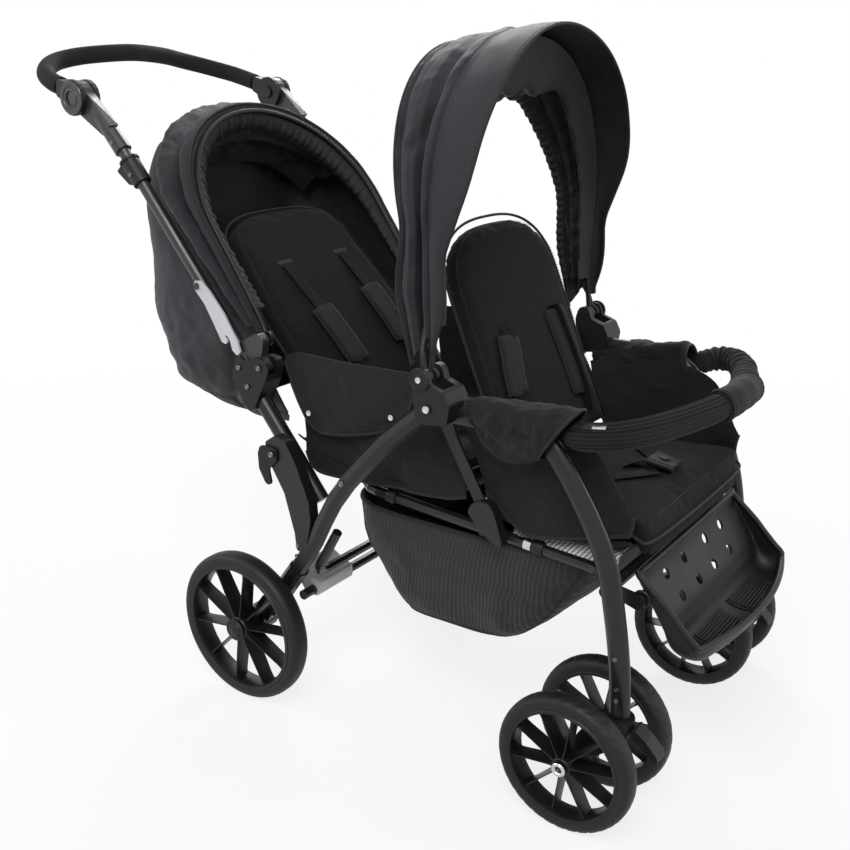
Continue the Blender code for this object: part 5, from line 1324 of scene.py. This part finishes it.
def bow(name, pivot, angle, half, height, eye, foot, body, rise=0.240):
    """A canopy bow: a wire from eye to eye, which replaces the CAD one."""
    t = np.linspace(0, PI, 120)
    top, _ = raised_arch(pivot, angle, half, height, t, foot + 0.05, rise)
    y, z = along(pivot, angle, np.array([0.0090, foot]))
    legs = [at(s * np.array([eye, eye - 0.003]), y, z) for s in (-1, 1)]
    path = curve(even(np.vstack([legs[0], top, legs[1][::-1]]), 0.012), 320)
    wire = tube("wire", path, 0.0040, PLASTIC, 14, up=(0, -1, 0))
    pieces = [wire]
    for s in (-1, 1):
        ear = turned("ear",
                     [(0.0046, -0.0034), (0.0104, -0.0034), (0.0110, -0.0026), (0.0110, 0.0026),
                      (0.0104, 0.0034),
                             (0.0046, 0.0034)], 36, PLASTIC)
        ear.data.transform(Matrix.Translation(Vector(at(s * eye, *pivot))))
        pieces.append(ear)
    made = merge(name + "_look", pieces)
    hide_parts(name)
    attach(made, body)


def lagging(p, share, far=0.034):
    """Moves the lower sides of a hood back to where its cuffs hang."""
    p[..., 1] += far * smooth((0.80 - p[..., 2]) / 0.12) * share
    return p


def middle_point(pivot, angle, reach):
    """A point on the middle plane, some distance from a pivot."""
    return tuple(at(0, *[float(q) for q in along(pivot, angle, reach)]))


def side_crease(p):
    """Depth of the soft V-shaped crease high on each side of the front hood."""
    y, z = p[..., 1] + MIDDLE, p[..., 2]
    vee = 0
    for y0, z0, y1, z1 in ((0.379, 0.886, 0.350, 0.965), (0.379, 0.886, 0.352, 0.905)):
        d = np.array([y1 - y0, z1 - z0])
        s = np.clip(((y - y0) * d[0] + (z - z0) * d[1]) / (d @ d), 0, 1)
        gap = np.hypot(y - y0 - s * d[0], z - z0 - s * d[1])
        vee = vee - 0.0050 * np.exp(-((gap / 0.008) ** 2)) * (1 - 0.5 * s)
    return vee


def front_hood_lining():
    """The lining that sags inside the front hood, with a ruffled channel near its rear bow."""
    t = np.linspace(0, PI, 401)[:, None]
    line = curve(FRONT_LINING, 61)
    angle, side, top = np.radians(line[None, :, 0]), line[None, :, 1], line[None, :, 2]
    _, crown = raised_arch(CANOPY, angle, 0.2290, HOOD_TOP, t, 0.062)
    middle = smooth((crown - 0.74) / 0.26)
    inset = side * (1 - middle) + top * middle
    w = np.linspace(0, 1, 61)[None, :]
    channel = np.exp(-(((w - 0.27) / 0.13) ** 4))
    pucker = 0.0013 * np.sin(150 * t + 2.5 * np.sin(7 * t)) + 0.0007 * np.sin(67 * t + 3)
    sag = 0.0050 * np.sin(19 * t + 5 * w) * middle * smooth((w - 0.35) / 0.2) * smooth((0.95 - w) / 0.2)
    inset = np.maximum(inset + pucker * channel + sag, 0.0008)
    p, _ = raised_arch(CANOPY, angle, 0.2290 - inset, HOOD_TOP - 0.0010 - inset, t, 0.062)
    lagging(p, np.clip(1 - (angle - FRONT_REAR) / (FRONT_SEAM - FRONT_REAR), 0, 1), 0.022)
    drape = rumple(p, 0.050, 0.0070, 14) * smooth((w - 0.40) / 0.15) * smooth((0.97 - w) / 0.12)
    p = p - unit(p - at(0, 0.36, 0.75)) * np.abs(drape)[..., None]
    return cloth("front_hood_lining", p, [LINING], 0.0012)


def make_front_hood():
    """The front hood's cloth, lining, binding and stitches, and its two bows."""
    t = np.linspace(0, PI, 201)[:, None]
    v = np.linspace(0, 1, 81)[None, :]
    knots = np.array(FRONT_FOLDS)
    fold = np.interp(v, knots[:, 0], knots[:, 1])
    fold = (np.roll(fold, 1) + fold + np.roll(fold, -1)) / 3
    fold[:, 0] = fold[:, -1] = 0
    angle = FRONT_REAR + (FRONT_SEAM - FRONT_REAR) * v
    _, crown = raised_arch(CANOPY, angle, 0.2300 + 0 * v, HOOD_TOP, t, 0.008 + 0.047 * v)
    wander = 0.9 + 0.35 * np.sin(3.1 * t + 0.8) * np.sin(PI * v)
    lift = fold * (1 - 0.62 * crown**2) * wander
    p, _ = raised_arch(CANOPY, angle, 0.2300 + 0.002 * v + lift, HOOD_TOP + lift, t, 0.008 + 0.047 * v)
    lagging(p, 1 - v)
    out = unit(p - at(0, 0.43, 0.78))
    ends = smooth(v / 0.1) * smooth((1 - v) / 0.1)
    ripples = rumple(p, 0.075, 0.0040, 2) + rumple(p, 0.030, 0.0010, 3)
    p = p + out * ((ripples + side_crease(p)) * ends)[..., None]
    hood = cloth("front_hood_cloth", p, [HOOD, LINING], 0.0022)
    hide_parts("front_hood")
    trim = tube("front_hood_binding", even(p[:, 1], 0.005), 0.0026, BINDING, 10)
    row = stitches("front_hood_stitches", (p + out * 0.0015)[4:-4, 8], out[4:-4, 8].mean(0), THREAD)

    lining = front_hood_lining()
    start = middle_point(CANOPY, FRONT_REAR, 0.40)
    end = middle_point(CANOPY, FRONT_SEAM, 0.40)
    for piece in (hood, lining):
        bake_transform(piece)
    for piece in (trim, row):
        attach(piece, "front_canopy")
    bow("front_canopy_bow", CANOPY, FRONT_REAR, 0.2150, 0.4310, 0.2480, 0.030, "front_canopy")
    bow("front_visor_bow", CANOPY, FRONT_SEAM, 0.2200, 0.4310, 0.2330, 0.030, "front_visor")


def make_front_visor():
    """The visor in front of the front hood."""
    t = np.linspace(0, PI, 181)[:, None]
    v = np.linspace(0, 1, 31)[None, :]
    p, _ = raised_arch(CANOPY, FRONT_SEAM, 0.2320 + 0.0040 * v, HOOD_TOP + 0.0080 * v, t, 0.034 + 0 * v)
    table = np.array(VISOR_DEPTH)
    depth = np.interp(p[..., 2], table[:, 0], table[:, 1])
    depth = (depth + np.roll(depth, 2, 0) + np.roll(depth, -2, 0)) / 3
    depth[:2], depth[-2:] = depth[2], depth[-3]
    p[..., 1] -= depth * v
    out = unit(p - at(0, CANOPY[0], CANOPY[1] + 0.2))
    out[..., 1] = 0
    p = p + out * (0.0030 * np.sin(PI * v) + rumple(p, 0.10, 0.0016, 6) * np.sin(PI * v))[..., None]
    visor = cloth("front_visor_cloth", p, [HOOD, LINING], 0.0030)
    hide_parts("front_visor")
    front = tube("edge", even(p[:, -1], 0.005), 0.0021, BINDING, 10)
    seam = tube("seam", even(p[:, 0], 0.005), 0.0024, BINDING, 10)
    trim = merge("front_visor_binding", [front, seam])
    rows = [stitches("row", (p + out * 0.0017)[4:-4, j], out[4:-4, j].mean(0), THREAD) for j in (3, -3)]
    sewing = merge("front_visor_stitches", rows)
    for piece in (visor, trim, sewing):
        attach(piece, "front_visor")


def make_rear_hood():
    """The rear hood's cloth, the ruched lining behind its bow, and the bow."""
    t = np.linspace(0, PI, 221)[:, None]
    table = curve(REAR_HOOD_ARCHES, 89)
    v = np.linspace(0, 1, 89)[None, :]
    angle, half, high = np.radians(table[None, :, 0]), table[None, :, 1], table[None, :, 2]
    wander = 0.0030 * np.sin(2.3 * t + 6 * v) * smooth((v - 0.35) / 0.2)
    p, crown = raised_arch(REAR_CANOPY, angle + 0 * t, half + wander, high + wander, t, 0.010 + 0.020 * v,
                           0.195)
    out = unit(p - at(0, 0.80, 0.72))
    valley = np.exp(-(((v - 0.455) / 0.05) ** 2))
    tight = np.exp(-(((v - 0.36) / 0.06) ** 2)) + np.exp(-(((v - 0.54) / 0.05) ** 2))
    lift = 0.0009 * np.sin(130 * t + 2 * np.sin(9 * t)) * tight - 0.0060 * valley * (1 - 0.6 * crown)
    drape = (rumple(p, 0.045, 0.0060, 11) * smooth((v - 0.5) / 0.2) + rumple(p, 0.030, 0.0016,
                                                                             12)) * smooth((1 - v) / 0.08)
    p = p + out * (lift + drape * smooth(v / 0.08))[..., None]
    hood = cloth("rear_hood_cloth", p, [LINING, HOOD], 0.0022)
    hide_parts("rear_hood")
    trim = tube("rear_hood_binding", even(p[:, 1], 0.005), 0.0026, BINDING, 10)
    rows = [stitches("row", (p + out * 0.0014)[4:-4, j], out[4:-4, j].mean(0), THREAD) for j in (7, 34)]
    sewing = merge("rear_hood_stitches", rows)

    t = np.linspace(0, PI, 421)[:, None]
    line = curve([(56.0, 0.0, 0.0), (55.4, 0.010, 0.008), (54.6, 0.021, 0.018), (53.0, 0.029, 0.026),
                  (51.2, 0.031, 0.028),
                  (49.8, 0.026, 0.030), (48.4, 0.020, 0.034)], 37)
    angle, side, top = np.radians(line[None, :, 0]), line[None, :, 1], line[None, :, 2]
    _, crown = raised_arch(REAR_CANOPY, angle, 0.2170, 0.4010, t, 0.050, 0.195)
    inset = side * (1 - crown**2) + top * crown**2
    w = np.linspace(0, 1, 37)[None, :]
    channel = np.exp(-(((w - 0.45) / 0.26) ** 4))
    pucker = 0.0018 * np.sin(120 * t + 3 * np.sin(6 * t)) + 0.0010 * np.sin(53 * t + 3 * w)
    inset = np.maximum(inset + pucker * channel, 0.0006)
    q, _ = raised_arch(REAR_CANOPY, angle, 0.2170 - inset, 0.4010 - inset, t, 0.050, 0.195)
    ruche = cloth("rear_hood_ruche", q, [LINING], 0.0012)
    start = middle_point(REAR_CANOPY, REAR_HOOD_BACK, 0.36)
    end = middle_point(REAR_CANOPY, math.radians(53.0), 0.36)
    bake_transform(hood)
    for piece in (trim, sewing, ruche):
        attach(piece, "rear_canopy")
    bow("rear_canopy_bow", REAR_CANOPY, REAR_BOW, 0.2075, 0.3900, 0.2123, 0.030, "rear_canopy", 0.195)


def make_rear_shell():
    """The cloth shell behind the rear seat."""
    lines = curve(SHELL_LEVELS, 100)
    t = np.linspace(0, PI, 161)[None, :]
    z = lines[:, 0:1]
    front, back, half = lines[:, 1:2], lines[:, 2:3], lines[:, 3:4]
    x = -signed_power(np.cos(t), 0.36) * half
    y = front + (back - front) * np.clip(np.sin(t), 0, 1) ** 0.46
    p = at(x, y, z + 0 * t)
    low = smooth((0.68 - z) / 0.16)
    side = np.abs(np.cos(t)) ** 0.6
    n = unit(np.stack([x / 0.2, (y - 0.78) / 0.2, 0 * x], -1))
    folds = 0.0060 * np.sin(24 * (y - 0.65) + 36 * (z - 0.46)) * low * side
    tuck = -0.0110 * np.exp(-(((y - 0.735 + 0.35 * (z - 0.55)) / 0.014) ** 2)) * low * side
    bulge = 0.0040 * np.sin(PI * np.clip((z - 0.47) / 0.40, 0, 1))
    p = p + n * (folds + tuck + bulge + rumple(p, 0.080, 0.0070, 21) * (0.4 + 0.6 * low))[..., None]
    floor_count = 18
    f = np.linspace(0, 1, floor_count + 1)[1:, None]
    last = p[-1]
    middle_y = 0.6700 - MIDDLE + (last[:, 1] + MIDDLE - 0.65) * 0.50
    target = np.stack([last[:, 0] * 0.86, middle_y, np.full(len(last), 0.4470)], 1)
    floor = last[None] * (1 - f[..., None]) + target[None] * f[..., None]
    floor[..., 2] -= 0.010 * np.sin(PI * f)
    p = np.concatenate([p, floor])
    shell = cloth("rear_shell_cloth", p, [HOOD, LINING], 0.0024)
    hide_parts("rear_shell")
    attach(shell, "rear_backrest")
    k = len(lines) - 2
    piping = tube("rear_shell_piping", even(p[k], 0.005), 0.0024, BINDING, 10)
    edges = [tube("edge", even(p[2:k, j], 0.005), 0.0022, BINDING, 8) for j in (0, -1)]
    hem = merge("rear_shell_hem", [piping, *edges])
    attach(hem, "rear_backrest")


def make_rear_lining():
    """The lining that sags inside the rear hood, from its front bow to the back wall."""
    u = np.linspace(-1, 1, 121)[None, :]
    v = np.linspace(0, 1, 50)[:, None]
    depth = np.interp(v, [0, 0.25, 0.5, 0.75, 1], [0, 0.020, 0.034, 0.052, 0.080])
    y = 0.8740 + 0.058 * v - 0.050 * np.abs(u) ** 2.6 * (1 - 0.5 * v)
    z = 0.9050 - depth - 0.100 * np.abs(u) ** 3.0 * (1 - 0.35 * v)
    z = z - 0.012 * np.maximum(0, np.sin(9.0 * u + 2.2 * v + 0.6)) * np.sin(PI * v) ** 0.7
    q = at(u * (0.176 - 0.006 * v), y, z)
    q[..., 2] += rumple(q, 0.040, 0.0080, 13) * np.sin(PI * v)
    curtain = cloth("rear_hood_lining", q, [LINING], 0.0014)
    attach(curtain, "push_frame")


# Basket

def make_basket():
    """The mesh basket with its piping, and the pale mesh under the front seat."""
    levels = [
        (0.3400, 0.0920, 0.5460, 0.1850), (0.3300, 0.0960, 0.5440, 0.1860), (0.2900, 0.1200, 0.5340, 0.1860),
        (0.2400, 0.1600, 0.5050, 0.1830),
        (0.1950, 0.2120, 0.4680, 0.1760), (0.1720, 0.2480, 0.4400, 0.1600), (0.1660, 0.2900, 0.4000, 0.1100),
        (0.1650, 0.3300, 0.3600, 0.0300),
    ]
    lines = curve(levels, 70)
    t = np.linspace(0, 2 * PI, 220, endpoint=False)[None, :]
    z = lines[:, 0:1] + 0 * t
    x = signed_power(np.cos(t), 0.42) * lines[:, 3:4]
    y = (lines[:, 1:2] + lines[:, 2:3]) / 2 + signed_power(np.sin(t),
                                                           0.42) * (lines[:, 2:3] - lines[:, 1:2]) / 2
    p = at(x, y, z)
    wall = smooth((z - 0.17) / 0.03)
    n = unit(np.stack([x, (y - 0.33) * 0.6, 0 * x], -1))
    drag = 0.0030 * np.sin(30 * (y - 0.1) + 22 * z) * smooth((0.31 - z) / 0.08)
    p = p + n * ((drag + rumple(p, 0.075, 0.0060, 31) * smooth((0.325 - z) / 0.05)) * wall)[..., None]
    p[..., 2] += 0.004 * np.sin(6 * t) * smooth((0.31 - z) / 0.1) * wall
    basket = cloth("basket_mesh", p, [KNIT], 0.0022, wrap=True)
    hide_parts("basket")
    rim = tube("rim", np.vstack([p[1], p[1][:1]]), 0.0036, BINDING, 10)
    k = int(np.argmin(np.abs(lines[:, 0] - 0.180)))
    seam = tube("seam", np.vstack([p[k], p[k][:1]]), 0.0026, BINDING, 10)
    corner = []
    for j in (28, 82, 138, 192):
        corner.append(tube("corner", p[1:k, j], 0.0022, BINDING, 8))
    trim = merge("basket_piping", [rim, seam, *corner])
    for piece in (basket, trim):
        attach(piece, "front_frame")
    u = np.linspace(-1, 1, 40)[None, :]
    v = np.linspace(0, 1, 24)[:, None]
    edge = np.clip((np.abs(u) - 0.94) / 0.06, 0, 1)
    height = 0.3680 - 0.004 * (1 - u**2) - 0.0150 * edge + 0.010 * (v - 0.3) * edge
    pale = cloth("front_seat_spacer", at(u * 0.1840, 0.070 + 0.160 * v, height), [PALE_MESH], 0.0016)
    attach(pale, "front_frame")


# Footrest

def pierced(thing, holes):
    """Cuts round holes through a piece."""
    cutter = merge("cutter", holes)
    cut = thing.modifiers.new("holes", "BOOLEAN")
    cut.operation, cut.solver, cut.object = "DIFFERENCE", "EXACT", cutter
    applied(thing)
    bpy.data.objects.remove(cutter)
    thing.data.shade_smooth()
    thing.data.set_sharp_from_angle(angle=math.radians(40))
    return thing


def tray_floor(line, x):
    """The dished floor of the footrest at each station of its line, bowed forward in the middle."""
    share = np.linspace(0, 1, len(line))[:, None]
    bow = 0.030 * np.maximum(0, share - 0.35) / 0.65
    across = (x / TRAY_HALF) ** 2
    return line[:, 0][:, None] + bow * across, line[:, 1][:, None] - 0.002 * bow * across


def make_footrest():
    """The pierced footrest scoop with its rim, foot pads, end caps and disc."""
    line, top = curve(TRAY_LINE, 73), curve(TRAY_WING_TOP, 73)
    edge_y, edge_z = tray_floor(line, np.full((1, 1), TRAY_HALF))
    rise_y, rise_z = top[:, :1] - edge_y, top[:, 1:] - edge_z
    height = np.sqrt(rise_y**2 + rise_z**2)
    corner = np.minimum(0.026, 0.85 * height)
    turn = np.linspace(0, PI / 2, 12)[None, 1:]
    flat = np.linspace(0, 1, 30)[None, :] * (TRAY_HALF - corner)
    x = np.concatenate([flat, TRAY_HALF - corner + corner * np.sin(turn), np.full((73, 9), TRAY_HALF)], 1)
    wall = corner + (height - corner) * np.linspace(0, 1, 10)[None, 1:]
    up = np.concatenate([0 * flat, corner * (1 - np.cos(turn)), wall], 1) / height
    x = np.concatenate([-x[:, :0:-1], x], 1)
    up = np.concatenate([up[:, :0:-1], up], 1)
    y, z = tray_floor(line, x)
    p = at(x, y + up * rise_y, z + up * rise_z)
    tray = cloth("footrest_tray", p, [PLASTIC], 0.0036)
    holes = []
    for y0, z0, xs in ((0.0335, 0.3200, (-0.102, -0.040, 0.040, 0.102)),
                       (0.0120, 0.2880, (-0.091, -0.030, 0.030, 0.091))):
        for x0 in xs:
            path = np.stack([at(x0, y0 - 0.022, z0 + 0.0154), at(x0, y0 + 0.022, z0 - 0.0154)])
            holes.append(tube("hole", path, 0.0082, PLASTIC, 36))
    pierced(tray, holes)
    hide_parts("footrest")
    loop = np.concatenate([p[:, 0], p[-1, 1:], p[-2::-1, -1], p[0, -2::-1]])
    rim = closed_tube("footrest_rim", loop, 0.0046, PLASTIC, 16)
    pieces = [tray, rim]
    for side, s in SIDES:
        floor_line = line[36:61]
        share = np.linspace(0.50, 0.8333, 25)

        def on_floor(across, place, lift):
            y0 = np.interp(place, share,
                           floor_line[:, 0]) + 0.030 * (place - 0.35) / 0.65 * (across / TRAY_HALF) ** 2
            return at(across, y0, np.interp(place, share, floor_line[:, 1]) + lift)

        across = np.linspace(0.013, 0.114, 24)
        parts = [cloth("plate",
                       on_floor(s * across[None, :] + 0 * share[:, None], share[:, None] * 0.84 + 0.090,
                                0.0026),
                       [PLASTIC], 0.0020)]
        for k in range(8):
            place = 0.545 + 0.0300 * k + 0.012 * (across[1:-1] - 0.063) / 0.05
            parts.append(tube("rib", on_floor(s * across[1:-1], place, 0.0046), 0.0017, PLASTIC, 10))
        pieces.append(merge("foot_pad_" + side, parts))
    profile = [(0.0, 0.0), (0.0125, 0.0), (0.0125, 0.0022), (0.0112, 0.0034), (0.0088, 0.0024), (0.0, 0.0022)]
    for name, aim, spot in (("cap_right", (-1, 0, 0), at(-0.1772, 0.034, 0.314)),
                            ("cap_left", (1, 0, 0), at(0.1772, 0.034, 0.314)),
                            ("disc", (0, -0.90, -0.44), at(0, -0.0680, 0.2420))):
        cap = turned("cap", profile, 36, PLASTIC, closed=False)
        faced(cap, spot, aim)
        cap.name = "footrest_" + name
        pieces.append(cap)
    for piece in pieces:
        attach(piece, "footrest")


# Stage, light and camera

def seen_directly(tree):
    """1 for camera, glossy and transmission rays, 0 for the rest."""
    path = tree.nodes.new("ShaderNodeLightPath")
    total = path.outputs["Is Camera Ray"]
    for other in ("Is Glossy Ray", "Is Transmission Ray"):
        step = tree.nodes.new("ShaderNodeMath")
        step.operation = "MAXIMUM"
        tree.links.new(total, step.inputs[0])
        tree.links.new(path.outputs[other], step.inputs[1])
        total = step.outputs[0]
    return total


def make_floor():
    """A pale floor that takes the shadows near the stroller and fades to white farther out."""
    floor_data = bpy.data.meshes.new("floor")
    size = 12.0
    floor_data.from_pydata([(-size, -size, 0), (size, -size, 0), (size, size, 0), (-size, size, 0)], [],
                           [(0, 1, 2, 3)])
    floor = linked("floor", floor_data)
    m = bpy.data.materials.new("pale_floor")
    m.use_nodes = True
    tree = m.node_tree
    tree.nodes.clear()
    out = tree.nodes.new("ShaderNodeOutputMaterial")
    mix = tree.nodes.new("ShaderNodeMixShader")
    diffuse = tree.nodes.new("ShaderNodeBsdfDiffuse")
    diffuse.inputs["Color"].default_value = (0.84, 0.84, 0.84, 1)
    glow = tree.nodes.new("ShaderNodeEmission")
    place = tree.nodes.new("ShaderNodeTexCoord")
    distance = tree.nodes.new("ShaderNodeVectorMath")
    distance.operation = "LENGTH"
    fade = tree.nodes.new("ShaderNodeMapRange")
    for name, number in (("From Min", 0.9), ("From Max", 2.2), ("To Min", 0.80), ("To Max", 1.0)):
        fade.inputs[name].default_value = number
    share = tree.nodes.new("ShaderNodeMath")
    share.operation = "MULTIPLY"
    for source, target in (
        (place.outputs["Object"], distance.inputs[0]),
        (distance.outputs["Value"], fade.inputs["Value"]),
        (fade.outputs["Result"], share.inputs[0]),
        (seen_directly(tree), share.inputs[1]),
        (share.outputs[0], mix.inputs[0]),
        (diffuse.outputs[0], mix.inputs[1]),
        (glow.outputs[0], mix.inputs[2]),
        (mix.outputs[0], out.inputs[0]),
    ):
        tree.links.new(source, target)
    floor_data.materials.append(m)


def make_world():
    """A white world for the camera, which lights the stroller more weakly."""
    world = bpy.data.worlds.new("studio")
    bpy.context.scene.world = world
    world.use_nodes = True
    tree = world.node_tree
    back = tree.nodes["Background"]
    back.inputs["Color"].default_value = (1, 1, 1, 1)
    level = tree.nodes.new("ShaderNodeMapRange")
    level.inputs["To Min"].default_value = 0.32
    level.inputs["To Max"].default_value = 1.0
    tree.links.new(seen_directly(tree), level.inputs["Value"])
    tree.links.new(level.outputs["Result"], back.inputs["Strength"])


def make_lamps():
    """Four soft lamps, as (name, place, target, size, power)."""
    for name, place, target, size, power in (
        ("key", (-2.2, -1.2, 3.0), (0, 0, 0.5), 1.6, 78),
        ("rim", (2.4, 1.4, 2.4), (0, 0, 0.6), 1.4, 60),
        ("front", (1.6, -3.2, 1.6), (0, 0, 0.4), 1.8, 26),
        ("back", (-1.8, 2.8, 2.0), (0, 0, 0.6), 1.6, 30),
    ):
        lamp = bpy.data.lights.new(name, "AREA")
        lamp.size = size
        lamp.energy = power
        made = linked(name, lamp)
        made.location = place
        made.rotation_euler = (Vector(target) - Vector(place)).to_track_quat("-Z", "Y").to_euler()


def make_camera():
    """The camera solved from the photograph."""
    data = bpy.data.cameras.new("camera")
    made = linked("camera", data)
    data.sensor_width = 36.0
    data.lens = 45.4990
    azimuth, elevation, roll = map(math.radians, (-54.9455, 18.4373, -0.2131))
    back = Vector((math.sin(azimuth) * math.cos(elevation), -math.cos(azimuth) * math.cos(elevation),
                   math.sin(elevation)))
    right = Vector((math.cos(azimuth), math.sin(azimuth), 0))
    up = back.cross(right)
    r = math.cos(roll) * right + math.sin(roll) * up
    u = -math.sin(roll) * right + math.cos(roll) * up
    turn = Matrix((r, u, back)).transposed().to_4x4()
    made.matrix_world = Matrix.Translation((-1.38669, -1.02164, 0.98290)) @ turn
    bpy.context.scene.camera = made
    bpy.context.scene.view_settings.view_transform = "Standard"


make_camera()
make_floor()
make_world()
make_lamps()
dress_cad()
make_wheels()
make_hardware()
make_cushions()
make_harness("front", FRONT_BACK_FOOT, FRONT_BACK_ANGLE, "front_backrest", 0.220, 0.071,
             {"right": (0.192, 0.100, -0.022), "left": (0.200, 0.062, 0.012)}, 0.0245)
make_harness("rear", REAR_BACK_FOOT, REAR_BACK_ANGLE, "rear_backrest", 0.272, 0.072,
             {"right": (0.188, 0.070, 0.018), "left": (0.204, 0.080, 0.012)}, 0.0425)
make_buckles()
make_seat_sides()
make_seat_floors()
make_tubes()
make_armrests()
make_bumper()
make_front_hood()
make_front_visor()
make_rear_hood()
make_rear_shell()
make_rear_lining()
make_basket()
make_footrest()
